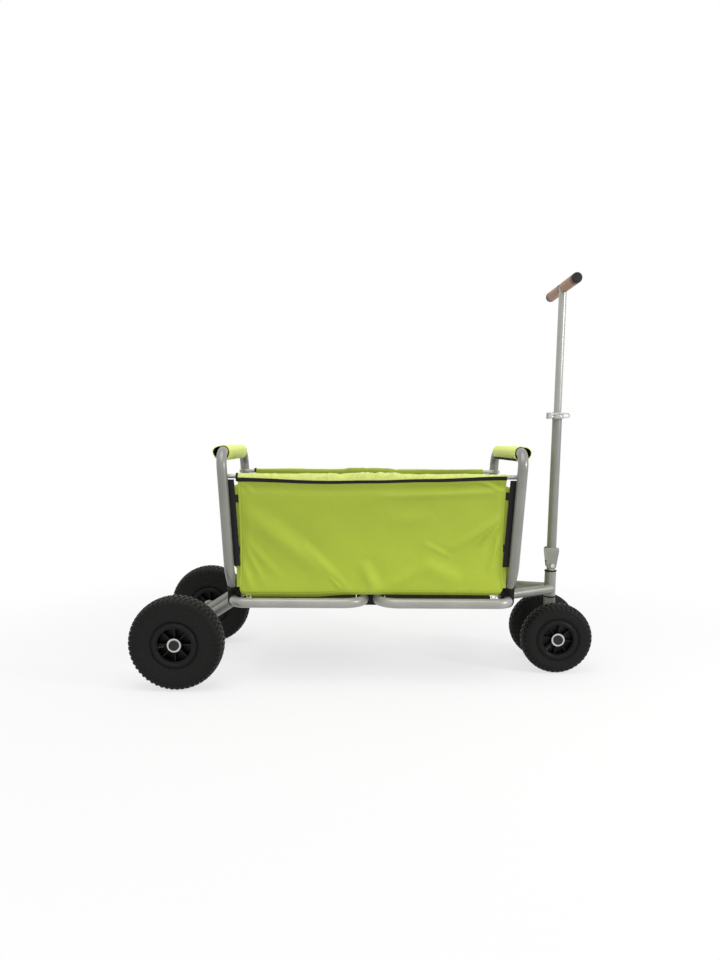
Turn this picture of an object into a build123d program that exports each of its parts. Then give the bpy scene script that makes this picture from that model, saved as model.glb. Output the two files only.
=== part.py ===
from build123d import *
import os
from math import cos, radians, sin, tan

os.makedirs("parts", exist_ok=True)

# A folding wagon. +X points forward, to the drawbar; +Y is its left side; +Z is up.
# The origin is on the ground, under the middle of the whole wagon. Millimetres.

REAR, FRONT = -1, 1
LEFT, RIGHT = 1, -1
SIDES = {"left": LEFT, "right": RIGHT}

# Wheels
wheelbase = 1085
rear_tyre_od = 260
rear_tyre_width = 85
rear_track = 500
rear_flange_od = 123
rear_bead_inset = 12
rear_hub_length = 64
front_tyre_od = 208
front_tyre_width = 62
front_track = 164
front_flange_od = 118
front_bead_inset = 9
front_hub_length = 48
tyre_wall = 6
tread_thickness = 9
shoulder_drop = 9
shoulder_inset = 7
bead_depth = 10.5
bead_thickness = 7
flange_thickness = 4
barrel_wall = 4
web_thickness = 6
rib_count = 8
rib_thickness = 3
rib_setback = 8
rib_root = 0.5
rear_rib_turn = 0
front_rib_turn = 9
hub_od = 36
bush_od = 26
bush_length = 20
bush_flange_od = 33
bush_flange = 2

# Axles
axle_od = 16
axle_washer_od = 38
axle_washer = 2.5
axle_cap_od = 28
axle_cap_height = 5
axle_cap_round = 2
end_play = 0.3
running_clearance = 0.06

# Frame tubes
tube_od = 28
tube_wall = 1.5
frame_half_width = 212
floor_height = 233
basket_x = 4
fold_half = 365
hinge_pitch = 40
floor_inner_bend = 60

# Rear arms
rear_arm_gap = 18
rear_arm_drop = 6

# Corner connectors, which join each end frame to a floor half
connector_inset = 34
connector_length = 38
connector_width = 37
connector_height = 38
connector_round = 3
socket_wall = 2.5
socket_length = 24
bar_engagement = 15
stub_gap = 2

# End frames
end_lean = 3.1
end_foot_out = 2
leg_foot_inset = 13
leg_foot_rise = 28
leg_knee_rise = 88
leg_knee_bend = 60
top_bar_over_rail = 67
top_bar_bend = 45
pad_height = 44
pad_depth = 56
pad_offset = 8
pad_end_gap = 2
soft_gap = 0.3

# Side rails
rail_od = 12
rail_wall = 1.5
rail_height = 582
rail_gap = 1
rail_overhang = 14
rail_bolt_od = 6
rail_bolt_head_od = 12
rail_bolt_head = 4
link_thickness = 3
link_height = 14
pin_head_od = 9
pin_head = 1.5

# Basket
basket_half_length = 366.5
basket_hem_height = 256
cloth = 3
panel_gap = 3
panel_seam = 1
end_cloth_margin = 8
end_cloth_drop = 37

# Floor boards
board_thickness = 8
board_setback = 43
board_gap = 8
tab_length = 40
tab_width = 14
tab_thickness = 3

# Centre hinge blocks
block_inset = 12
block_length = 40
block_wall = 6
block_top = 25
block_round = 4

# Steering head
trail = 2
head_od = 34
head_wall = 3
head_bottom = 215
head_length = 75
head_bush_flange = 4
head_bush_flange_od = 36
head_bush_length = 16
stem_od = 25
stem_wall = 4
front_arm_gap = 43
front_arm_head_y = 14
front_arm_rise = 5
yoke_size = 30
yoke_wall = 3
yoke_foot = 18
axle_sleeve_od = 24

# Drawbar
clevis_plate = 3
clevis_width = 38
clevis_shoulder = 42
clevis_top = 54
clevis_bevel = 3
clevis_nose = 13
clevis_gap = 3
clevis_web_rise = 14
clevis_slope = 9
clevis_lip = 0.8
pivot_bolt_od = 8
pivot_bolt_head_od = 14
pivot_bolt_head = 5
stem_above_pivot = 11
tube_above_pivot = 16
drawbar_top = 760
upper_od = 22
upper_wall = 1.5
upper_overlap = 105
top_bush_length = 20
top_bush_flange = 4
grip_height = 1117
grip_length = 284
grip_od = 29
grip_gap = 30
grip_cap = 8
grip_cap_round = 4
collar_height = 18
collar_wall = 4.5
collar_lug = 13
collar_slit = 3
collar_bolt_od = 5
collar_bolt_head_od = 11
collar_bolt_head = 5
lever_wire = 4
lever_reach = 55
lever_gap = 1
lever_inset = 1
lever_flare = 15
lever_loop_height = 15
lever_pin_od = 5
lever_ear = 2.5
lever_ear_width = 9

# Places worked out from the sizes above
rear_axle_z = rear_tyre_od / 2
front_axle_z = front_tyre_od / 2
rear_axle_x = -(wheelbase + front_axle_z - rear_axle_z) / 2
front_axle_x = rear_axle_x + wheelbase
steer_x = front_axle_x - trail
tube_r = tube_od / 2
connector_outer_y = frame_half_width - connector_inset
connector_inner_y = connector_outer_y - connector_length
bar_half = connector_inner_y + bar_engagement
rear_arm_y = connector_inner_y - rear_arm_gap
front_arm_bar_y = connector_inner_y - front_arm_gap
leg_foot_y = connector_outer_y - leg_foot_inset
top_bar_rise = rail_height - floor_height + top_bar_over_rail
pad_length = 2 * (frame_half_width - top_bar_bend - pad_end_gap)
end_cloth_top = rail_height - end_cloth_drop
block_outer_y = frame_half_width - floor_inner_bend - block_inset
block_inner_y = block_outer_y - block_length
floor_outer_bend = frame_half_width - connector_outer_y
rail_y = frame_half_width - tube_r - rail_gap - rail_od / 2
panel_inner_y = rail_y + rail_od / 2 + panel_gap
head_top = head_bottom + head_length
pivot_z = head_top + head_bush_flange + clevis_gap + clevis_nose
drawbar_bottom = pivot_z + tube_above_pivot
end_names = {REAR: "rear", FRONT: "front"}


def end_pivot_x(end):
    """X of the axis on which a floor half turns in its end frame."""
    return basket_x + end * (hinge_pitch / 2 + fold_half)


def middle_pivot_x(end):
    """X of the axis on which a floor half turns in the centre hinge."""
    return basket_x + end * hinge_pitch / 2


def upright_x(end, height):
    """X of an upright's axis at a height above the ground."""
    return end_pivot_x(end) + end * (end_foot_out + (height - floor_height) * tan(radians(end_lean)))


def end_plane(end):
    """The leaning plane of an end frame: local x is +Y, local y runs up the uprights."""
    lean = radians(end_lean)
    foot = (end_pivot_x(end) + end * end_foot_out, 0, floor_height)
    return Plane(origin=foot, x_dir=(0, 1, 0), z_dir=(cos(lean), 0, -end * sin(lean)))


def rail_link_x(end):
    """X of the pin that joins a rail half to its centre link."""
    return upright_x(end, rail_height) - end * fold_half


def across(x, y, z):
    """A plane at a point, facing +Y, with its local x along +X."""
    return Plane(origin=(x, y, z), x_dir=(1, 0, 0), z_dir=(0, 1, 0))


def save(piece, name):
    """Label a finished piece and write it to its own file."""
    piece.part.label = name
    export_step(piece.part, f"parts/{name}.step")


def bent_tube(points, bends, od, wall):
    """A hollow round tube along straight runs joined by tangent bends."""
    with BuildPart() as tube:
        with BuildLine() as route:
            if len(points) == 2:
                Line(*points)
            else:
                FilletPolyline(*points, radius=bends)
        start = Plane(origin=route.line @ 0, z_dir=route.line % 0)
        with BuildSketch(start):
            Circle(od / 2)
            Circle(od / 2 - wall, mode=Mode.SUBTRACT)
        sweep(path=route.line)
    return tube


def cross_tube(x, z, y_from, y_to, od, wall):
    """A straight hollow tube along Y."""
    with BuildPart() as tube:
        with BuildSketch(across(x, y_from, z)):
            Circle(od / 2)
            Circle(od / 2 - wall, mode=Mode.SUBTRACT)
        extrude(amount=y_to - y_from)
    return tube


def cut_along_y(x, z, diameter, y_from, y_to):
    """Cut a round hole along Y in the part that is being built."""
    with BuildSketch(across(x, y_from, z)) as hole:
        Circle(diameter / 2)
    extrude(hole.sketch, amount=y_to - y_from, mode=Mode.SUBTRACT)


def add_along_y(x, z, diameter, y_from, y_to):
    """Add a round bar along Y to the part that is being built."""
    with BuildSketch(across(x, y_from, z)) as disc:
        Circle(diameter / 2)
    extrude(disc.sketch, amount=y_to - y_from)


# Wheels
def build_tyre(centre, od, width, flange_od, bead_inset):
    """An air tyre: two beads, rounded side walls and a crowned tread."""
    crown = od / 2
    bead = flange_od / 2 - bead_depth
    seat = width / 2 - bead_inset
    shoulder = crown - shoulder_drop
    shoulder_y = width / 2 - shoulder_inset
    widest = (flange_od / 2 + shoulder) / 2
    toe = seat - bead_thickness
    with BuildPart() as tyre:
        with BuildSketch(Plane(origin=centre)):
            with BuildLine():
                Polyline((flange_od / 2, -seat), (bead, -seat), (bead, -toe), (flange_od / 2, -toe))
                ThreePointArc(
                    (flange_od / 2, -toe),
                    (widest, tyre_wall - width / 2),
                    (shoulder - tyre_wall, tyre_wall - shoulder_y),
                )
                ThreePointArc(
                    (shoulder - tyre_wall, tyre_wall - shoulder_y),
                    (crown - tread_thickness, 0),
                    (shoulder - tyre_wall, shoulder_y - tyre_wall),
                )
                ThreePointArc(
                    (shoulder - tyre_wall, shoulder_y - tyre_wall),
                    (widest, width / 2 - tyre_wall),
                    (flange_od / 2, toe),
                )
                Polyline((flange_od / 2, toe), (bead, toe), (bead, seat), (flange_od / 2, seat))
                ThreePointArc((flange_od / 2, seat), (widest, width / 2), (shoulder, shoulder_y))
                ThreePointArc((shoulder, shoulder_y), (crown, 0), (shoulder, -shoulder_y))
                ThreePointArc((shoulder, -shoulder_y), (widest, -width / 2), (flange_od / 2, -seat))
            make_face()
        revolve(axis=Axis(centre, (0, 1, 0)))
    return tyre


def build_rim(centre, width, flange_od, bead_inset, hub_length, rib_turn):
    """A moulded rim: barrel with two flanges, deep web with thin ribs, and a hub bored for bushes."""
    bead = flange_od / 2 - bead_depth
    seat = width / 2 - bead_inset
    edge = seat + flange_thickness
    barrel = bead - barrel_wall
    with BuildPart() as rim:
        with BuildSketch(Plane(origin=centre)):
            with BuildLine():
                Polyline(
                    (bush_od / 2, -hub_length / 2),
                    (hub_od / 2, -hub_length / 2),
                    (hub_od / 2, -web_thickness / 2),
                    (barrel, -web_thickness / 2),
                    (barrel, -edge),
                    (flange_od / 2, -edge),
                    (flange_od / 2, -seat),
                    (bead, -seat),
                    (bead, seat),
                    (flange_od / 2, seat),
                    (flange_od / 2, edge),
                    (barrel, edge),
                    (barrel, web_thickness / 2),
                    (hub_od / 2, web_thickness / 2),
                    (hub_od / 2, hub_length / 2),
                    (bush_od / 2, hub_length / 2),
                    close=True,
                )
            make_face()
        revolve(axis=Axis(centre, (0, 1, 0)))
        with BuildSketch(across(*centre)):
            with PolarLocations((hub_od / 2 + barrel) / 2, rib_count, rib_turn):
                Rectangle(barrel - hub_od / 2 + 2 * rib_root, rib_thickness)
        extrude(amount=edge - rib_setback, both=True)
    return rim


def build_hub_bushes(centre, hub_length):
    """The two flanged bushes in a hub, which run on the axle."""
    x, y, z = centre
    with BuildPart() as bushes:
        for face in (-1, 1):
            end = y + face * hub_length / 2
            add_along_y(x, z, bush_od, end - face * bush_length, end)
            add_along_y(x, z, bush_flange_od, end, end + face * bush_flange)
        reach = hub_length / 2 + bush_flange
        cut_along_y(x, z, axle_od + 2 * running_clearance, y - reach, y + reach)
    return bushes


wheel_sets = {
    "rear": (rear_axle_x, rear_axle_z, rear_track, rear_hub_length),
    "front": (front_axle_x, front_axle_z, front_track, front_hub_length),
}
tyre_sets = {
    "rear": (rear_tyre_od, rear_tyre_width, rear_flange_od, rear_bead_inset),
    "front": (front_tyre_od, front_tyre_width, front_flange_od, front_bead_inset),
}
rib_turns = {"rear": rear_rib_turn, "front": front_rib_turn}
for place, (axle_x, axle_z, track, hub_length) in wheel_sets.items():
    tyre_od, tyre_width, flange_od, bead_inset = tyre_sets[place]
    for side_name, side in SIDES.items():
        hub = (axle_x, side * track / 2, axle_z)
        save(build_tyre(hub, tyre_od, tyre_width, flange_od, bead_inset), f"{place}_tyre_{side_name}")
        rim = build_rim(hub, tyre_width, flange_od, bead_inset, hub_length, rib_turns[place])
        save(rim, f"{place}_rim_{side_name}")
        save(build_hub_bushes(hub, hub_length), f"{place}_hub_bushes_{side_name}")

# Axles: a rod, in a tube at the rear, with washers beside each hub and a cap on each end
for place, (axle_x, axle_z, track, hub_length) in wheel_sets.items():
    hub_reach = hub_length / 2 + bush_flange + end_play
    inner_face = track / 2 - hub_reach - axle_washer
    outer_face = track / 2 + hub_reach + axle_washer
    with BuildPart() as axle:
        add_along_y(axle_x, axle_z, axle_od, -outer_face, outer_face)
        if place == "rear":
            add_along_y(axle_x, axle_z, tube_od, -inner_face, inner_face)
    save(axle, f"{place}_axle")
    with BuildPart() as washers:
        for side in (LEFT, RIGHT):
            for face in (inner_face, outer_face - axle_washer):
                add_along_y(axle_x, axle_z, axle_washer_od, side * face, side * (face + axle_washer))
        cut_along_y(axle_x, axle_z, axle_od, -outer_face, outer_face)
    save(washers, f"{place}_axle_washers")
    with BuildPart() as caps:
        for side in (LEFT, RIGHT):
            add_along_y(axle_x, axle_z, axle_cap_od, side * outer_face, side * (outer_face + axle_cap_height))
        rims_of_caps = caps.edges().filter_by(GeomType.CIRCLE).group_by(Axis.Y)
        fillet(rims_of_caps[0] + rims_of_caps[-1], axle_cap_round)
    save(caps, f"{place}_axle_caps")

# The two arms that carry the rear axle
rear_bar_x = end_pivot_x(REAR)
arm_tubes = []
for side in (LEFT, RIGHT):
    arm_foot = (rear_axle_x, side * rear_arm_y, rear_axle_z)
    arm_top = (rear_bar_x, side * rear_arm_y, floor_height - rear_arm_drop)
    arm_tubes.append(bent_tube([arm_foot, arm_top], None, tube_od, tube_wall).part)
with BuildPart() as rear_arms:
    add(arm_tubes)
    cut_along_y(rear_axle_x, rear_axle_z, tube_od, -rear_arm_y - tube_od, rear_arm_y + tube_od)
    cut_along_y(rear_bar_x, floor_height, tube_od, -bar_half, bar_half)
save(rear_arms, "rear_arms")

# End frames: bottom bar, corner connectors and the bent upright loop with its padded top bar
for end, end_name in end_names.items():
    bar_x = end_pivot_x(end)
    save(cross_tube(bar_x, floor_height, -bar_half, bar_half, tube_od, tube_wall), f"{end_name}_bottom_bar")

    leg_points = [
        (leg_foot_y, leg_foot_rise),
        (frame_half_width, leg_knee_rise),
        (frame_half_width, top_bar_rise),
        (-frame_half_width, top_bar_rise),
        (-frame_half_width, leg_knee_rise),
        (-leg_foot_y, leg_foot_rise),
    ]
    frame_plane = end_plane(end)
    frame_points = [frame_plane.from_local_coords((y, rise, 0)) for y, rise in leg_points]
    bends = [leg_knee_bend, top_bar_bend, top_bar_bend, leg_knee_bend]
    loop_tube = bent_tube(frame_points, bends, tube_od, tube_wall)
    bolt_x = upright_x(end, rail_height)
    reach = frame_half_width + tube_od
    with BuildPart() as end_frame:
        add(loop_tube.part)
        cut_along_y(bolt_x, rail_height, rail_bolt_od, -reach, reach)
    save(end_frame, f"{end_name}_end_frame")

    with BuildPart() as connectors:
        for side in (LEFT, RIGHT):
            with BuildSketch(across(bar_x, side * connector_inner_y, floor_height)):
                Circle(connector_width / 2)
                with Locations((0, -connector_height / 2)):
                    Rectangle(connector_width, connector_height)
            extrude(amount=side * (connector_outer_y - connector_inner_y))
        fillet(connectors.faces().group_by(Axis.Z)[-1].edges(), connector_round)
        for side, foot, knee in ((LEFT, *frame_points[:2]), (RIGHT, *frame_points[:-3:-1])):
            with BuildSketch(Plane(origin=foot, z_dir=knee - foot)):
                Circle(tube_r + socket_wall)
            extrude(amount=socket_length)
            cut_along_y(bar_x, floor_height, tube_od, side * connector_inner_y, side * bar_half)
            bore = tube_od + 2 * running_clearance
            cut_along_y(bar_x, floor_height, bore, side * bar_half, side * connector_outer_y)
            with BuildSketch(Plane(origin=foot, z_dir=knee - foot)):
                Circle(tube_r)
            extrude(amount=leg_knee_rise, mode=Mode.SUBTRACT)
    save(connectors, f"{end_name}_connectors")

    with BuildPart() as pad:
        top_bar = frame_plane.from_local_coords((0, top_bar_rise, 0))
        with BuildSketch(across(top_bar.X, -pad_length / 2, top_bar.Z)):
            with Locations((end * pad_offset, 0)):
                Ellipse(pad_depth / 2, pad_height / 2)
            Circle(tube_r + soft_gap, mode=Mode.SUBTRACT)
        extrude(amount=pad_length)
    save(pad, f"{end_name}_handle_pad")

    with BuildPart() as end_cloth:
        lean_cos = cos(radians(end_lean))
        cloth_half = frame_half_width - tube_r - end_cloth_margin
        top_rise = (end_cloth_top - floor_height) / lean_cos
        foot_rise = connector_height + soft_gap
        knee_rise = leg_knee_rise + leg_knee_bend / 2
        with BuildSketch(frame_plane):
            with BuildLine():
                Polyline(
                    (-cloth_half, top_rise),
                    (-cloth_half, knee_rise),
                    (-connector_inner_y, foot_rise),
                    (connector_inner_y, foot_rise),
                    (cloth_half, knee_rise),
                    (cloth_half, top_rise),
                    close=True,
                )
            make_face()
        extrude(amount=cloth / 2, both=True)
    save(end_cloth, f"basket_end_{end_name}")

    with BuildPart() as rail_bolts:
        inner = rail_y - rail_od / 2 - rail_gap
        outer = frame_half_width + tube_r
        for side in (LEFT, RIGHT):
            head = inner - rail_bolt_head
            add_along_y(bolt_x, rail_height, rail_bolt_od, side * inner, side * outer)
            add_along_y(bolt_x, rail_height, rail_bolt_head_od, side * inner, side * head)
    save(rail_bolts, f"{end_name}_rail_bolts")

# Floor halves: a bent tube open at its outer corners, a board and the tabs that carry it
for end, end_name in end_names.items():
    outer_x = end_pivot_x(end)
    inner_x = middle_pivot_x(end)
    stub_y = bar_half + stub_gap
    corners = [
        (outer_x, -stub_y),
        (outer_x, -frame_half_width),
        (inner_x, -frame_half_width),
        (inner_x, frame_half_width),
        (outer_x, frame_half_width),
        (outer_x, stub_y),
    ]
    floor_points = [(x, y, floor_height) for x, y in corners]
    bends = [floor_outer_bend, floor_inner_bend, floor_inner_bend, floor_outer_bend]
    floor_tube = bent_tube(floor_points, bends, tube_od, tube_wall)

    board_outer = outer_x - end * board_setback
    board_inner = inner_x + end * (tube_r + board_gap)
    board_middle = (board_outer + board_inner) / 2
    board_length = abs(board_outer - board_inner)
    board_half = frame_half_width - tube_r - board_gap
    corner_round = floor_inner_bend - tube_r
    with BuildPart() as board:
        with BuildSketch(Plane(origin=(board_middle, 0, floor_height))):
            RectangleRounded(board_length, 2 * board_half, corner_round)
        extrude(amount=board_thickness)
    save(board, f"floor_board_{end_name}")

    with BuildPart() as floor_frame:
        add(floor_tube.part)
        tab_inner = board_half - tab_width
        tab_outer = frame_half_width - tube_r + tube_wall / 2
        with BuildSketch(Plane(origin=(board_middle, 0, floor_height - tab_thickness))):
            with GridLocations(board_length / 2, tab_outer + tab_inner, 2, 2):
                Rectangle(tab_length, tab_outer - tab_inner)
        extrude(amount=tab_thickness)
    save(floor_frame, f"floor_frame_{end_name}")

# Centre hinge: two blocks, each bored for the inner cross tubes of both floor halves
with BuildPart() as hinge_blocks:
    block_half = hinge_pitch / 2 + tube_r + block_wall
    for side in (LEFT, RIGHT):
        with BuildSketch(across(basket_x, side * block_inner_y, floor_height)):
            with BuildLine():
                Polyline(
                    (-block_half, -block_top),
                    (block_half, -block_top),
                    (block_half, 0),
                    (hinge_pitch / 2, tube_r + block_wall),
                    (-hinge_pitch / 2, tube_r + block_wall),
                    (-block_half, 0),
                    close=True,
                )
            make_face()
            with Locations((hinge_pitch / 2, 0), (-hinge_pitch / 2, 0)):
                Circle(tube_r + block_wall)
        extrude(amount=side * (block_outer_y - block_inner_y))
    fillet(hinge_blocks.edges().filter_by(Axis.Y).group_by(Axis.Z)[-1], block_round)
    for end in (REAR, FRONT):
        bore = tube_od + 2 * running_clearance
        cut_along_y(middle_pivot_x(end), floor_height, bore, -block_outer_y, block_outer_y)
save(hinge_blocks, "centre_hinge_blocks")

# Side rails: two halves and a centre link on each side
for side_name, side in SIDES.items():
    y_rail = side * rail_y
    for end, end_name in end_names.items():
        pin_x = rail_link_x(end)
        bolt_x = upright_x(end, rail_height)
        rail_ends = [(bolt_x + end * rail_overhang, y_rail, rail_height)]
        rail_ends.append((pin_x - end * rail_overhang, y_rail, rail_height))
        rail_tube = bent_tube(rail_ends, None, rail_od, rail_wall)
        hole = rail_bolt_od + 2 * running_clearance
        with BuildPart() as rail:
            add(rail_tube.part)
            for hole_x in (bolt_x, pin_x):
                cut_along_y(hole_x, rail_height, hole, y_rail - rail_od, y_rail + rail_od)
        save(rail, f"rail_{end_name}_{side_name}")

    link_face = rail_y - rail_od / 2 - rail_gap
    with BuildPart() as link:
        link_pitch = rail_link_x(FRONT) - rail_link_x(REAR)
        with BuildSketch(across(basket_x, side * link_face, rail_height)):
            SlotCenterToCenter(link_pitch, link_height)
        extrude(amount=-side * link_thickness)
        head_face = rail_y + rail_od / 2 + soft_gap
        for end in (REAR, FRONT):
            pin_x = rail_link_x(end)
            add_along_y(pin_x, rail_height, rail_bolt_od, side * link_face, side * head_face)
            add_along_y(pin_x, rail_height, pin_head_od, side * head_face, side * (head_face + pin_head))
    save(link, f"rail_link_{side_name}")

# Basket sides: on each rail half a hanging panel with a top fold that lies over the rail
fold_top = rail_height + rail_od / 2 + soft_gap + cloth
panel_outer_y = panel_inner_y + cloth
fold_inner_y = rail_y - rail_od / 2
for side_name, side in SIDES.items():
    for end, end_name in end_names.items():
        seam_x = basket_x + end * panel_seam / 2
        with BuildPart() as panel:
            with BuildSketch(Plane(origin=(seam_x, 0, 0), x_dir=(0, 1, 0), z_dir=(1, 0, 0))):
                with BuildLine():
                    Polyline(
                        (side * panel_outer_y, basket_hem_height),
                        (side * panel_outer_y, fold_top),
                        (side * fold_inner_y, fold_top),
                        (side * fold_inner_y, fold_top - cloth),
                        (side * panel_inner_y, fold_top - cloth),
                        (side * panel_inner_y, basket_hem_height),
                        close=True,
                    )
                make_face()
            extrude(amount=end * (basket_half_length - panel_seam / 2))
        save(panel, f"basket_side_{end_name}_{side_name}")

# Steering head: two arms in a V, head tube and its bushes
front_bar_x = end_pivot_x(FRONT)
with BuildPart() as head_tube:
    with BuildSketch(Plane(origin=(steer_x, 0, head_bottom))):
        Circle(head_od / 2)
        Circle(head_od / 2 - head_wall, mode=Mode.SUBTRACT)
    extrude(amount=head_length)
save(head_tube, "head_tube")

arm_tubes = []
for side in (LEFT, RIGHT):
    arm_foot = (front_bar_x, side * front_arm_bar_y, floor_height)
    arm_tip = (steer_x, side * front_arm_head_y, floor_height + front_arm_rise)
    arm_tubes.append(bent_tube([arm_foot, arm_tip], None, tube_od, tube_wall).part)
with BuildPart() as front_arms:
    add(arm_tubes)
    cut_along_y(front_bar_x, floor_height, tube_od, -bar_half, bar_half)
    with BuildSketch(Plane(origin=(steer_x, 0, head_bottom))):
        Circle(head_od / 2)
    extrude(amount=head_length, mode=Mode.SUBTRACT)
save(front_arms, "front_arms")

with BuildPart() as head_bushes:
    for face, outward in ((head_bottom, -1), (head_top, 1)):
        with BuildSketch(Plane(origin=(steer_x, 0, face))):
            Circle(head_od / 2 - head_wall)
        extrude(amount=-outward * head_bush_length)
        with BuildSketch(Plane(origin=(steer_x, 0, face))):
            Circle(head_bush_flange_od / 2)
        extrude(amount=outward * head_bush_flange)
    with BuildSketch(Plane(origin=(steer_x, 0, head_bottom - head_bush_flange))):
        Circle(stem_od / 2 + running_clearance)
    extrude(amount=head_length + 2 * head_bush_flange, mode=Mode.SUBTRACT)
save(head_bushes, "head_bushes")

# Steering stem, and the yoke with its axle sleeves
yoke_top = head_bottom - head_bush_flange - end_play
with BuildPart() as stem:
    stem_top = pivot_z + stem_above_pivot
    with BuildSketch(Plane(origin=(steer_x, 0, yoke_top))):
        Circle(stem_od / 2)
        Circle(stem_od / 2 - stem_wall, mode=Mode.SUBTRACT)
    extrude(amount=stem_top - yoke_top)
    cut_along_y(steer_x, pivot_z, pivot_bolt_od, -stem_od, stem_od)
save(stem, "steering_stem")

with BuildPart() as yoke:
    yoke_bottom = front_axle_z - yoke_foot
    with BuildSketch(Plane(origin=(steer_x, 0, yoke_bottom))):
        RectangleRounded(yoke_size, yoke_size, yoke_wall)
    extrude(amount=yoke_top - yoke_bottom)
    with BuildSketch(Plane(origin=(steer_x, 0, yoke_bottom))):
        Rectangle(yoke_size - 2 * yoke_wall, yoke_size - 2 * yoke_wall)
    extrude(amount=yoke_top - yoke_bottom - yoke_wall, mode=Mode.SUBTRACT)
    sleeve_end = front_track / 2 - front_hub_length / 2 - bush_flange - end_play - axle_washer
    for side in (LEFT, RIGHT):
        yoke_face = side * (yoke_size / 2 - yoke_wall)
        add_along_y(front_axle_x, front_axle_z, axle_sleeve_od, yoke_face, side * sleeve_end)
    cut_along_y(front_axle_x, front_axle_z, axle_od, -sleeve_end, sleeve_end)
save(yoke, "steering_yoke")

# Drawbar pivot: the bolt through the stem and the clevis that turns on it
clevis_inner = tube_r
clevis_outer = tube_r + clevis_plate
with BuildPart() as pivot_bolt:
    bolt_reach = clevis_outer + end_play
    add_along_y(steer_x, pivot_z, pivot_bolt_od, -bolt_reach, bolt_reach)
    for side in (LEFT, RIGHT):
        with BuildSketch(across(steer_x, side * bolt_reach, pivot_z)):
            RegularPolygon(pivot_bolt_head_od / 2, 6)
        extrude(amount=side * pivot_bolt_head)
save(pivot_bolt, "drawbar_pivot_bolt")

with BuildPart() as clevis:
    half = clevis_width / 2
    for side in (LEFT, RIGHT):
        with BuildSketch(across(steer_x, side * clevis_inner, pivot_z)):
            Circle(clevis_nose)
            with BuildLine():
                Polyline(
                    (-clevis_nose, 0),
                    (-half, -clevis_shoulder),
                    (-half, clevis_bevel - clevis_top),
                    (clevis_bevel - half, -clevis_top),
                    (half - clevis_bevel, -clevis_top),
                    (half, clevis_bevel - clevis_top),
                    (half, -clevis_shoulder),
                    (clevis_nose, 0),
                    close=True,
                )
            make_face()
        extrude(amount=side * clevis_plate)
    web_back = clevis_nose + (half - clevis_nose) * clevis_web_rise / clevis_shoulder
    with BuildSketch(across(steer_x, -clevis_inner, pivot_z)):
        with BuildLine():
            Polyline(
                (-web_back, -clevis_web_rise),
                (-half, -clevis_shoulder),
                (-half, clevis_bevel - clevis_top),
                (clevis_plate - half, clevis_bevel - clevis_top),
                (clevis_plate - half, -clevis_shoulder),
                (clevis_plate - web_back, -clevis_web_rise),
                close=True,
            )
        make_face()
    extrude(amount=2 * clevis_inner)
    with BuildSketch(Plane(origin=(steer_x, 0, drawbar_bottom))):
        Circle(tube_r)
    extrude(amount=clevis_top, mode=Mode.SUBTRACT)
    clevis_end = pivot_z + clevis_top
    for side in (LEFT, RIGHT):
        with BuildSketch(Plane(origin=(steer_x, 0, clevis_end), x_dir=(0, 1, 0), z_dir=(1, 0, 0))):
            with BuildLine():
                Polyline(
                    (side * clevis_outer, -clevis_slope),
                    (side * clevis_outer, 0),
                    (side * (clevis_inner + clevis_lip), 0),
                    close=True,
                )
            make_face()
        extrude(amount=half, both=True, mode=Mode.SUBTRACT)
    cut_along_y(steer_x, pivot_z, pivot_bolt_od + 2 * running_clearance, -clevis_outer, clevis_outer)
save(clevis, "drawbar_clevis")

# Drawbar tubes, the upper one with its welded cross bar, and the bush between them
lower_bore = tube_od - 2 * tube_wall
drawbar_ends = [(steer_x, 0, drawbar_bottom), (steer_x, 0, drawbar_top)]
save(bent_tube(drawbar_ends, None, tube_od, tube_wall), "drawbar_lower_tube")

with BuildPart() as top_bush:
    with BuildSketch(Plane(origin=(steer_x, 0, drawbar_top - top_bush_length))):
        Circle(lower_bore / 2)
    extrude(amount=top_bush_length)
    with BuildSketch(Plane(origin=(steer_x, 0, drawbar_top))):
        Circle(tube_r)
    extrude(amount=top_bush_flange)
    with BuildSketch(Plane(origin=(steer_x, 0, drawbar_top - top_bush_length))):
        Circle(upper_od / 2 + running_clearance)
    extrude(amount=top_bush_length + top_bush_flange, mode=Mode.SUBTRACT)
save(top_bush, "drawbar_top_bush")

upper_bottom = drawbar_top - upper_overlap
cross_half = grip_length / 2 - grip_cap
upright_tube = bent_tube([(steer_x, 0, upper_bottom), (steer_x, 0, grip_height)], None, upper_od, upper_wall)
with BuildPart() as upper_tube:
    add(upright_tube.part)
    add_along_y(steer_x, grip_height, upper_od, -cross_half, cross_half)
    cut_along_y(steer_x, grip_height, upper_od - 2 * upper_wall, -cross_half, cross_half)
save(upper_tube, "drawbar_upper_tube")

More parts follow.
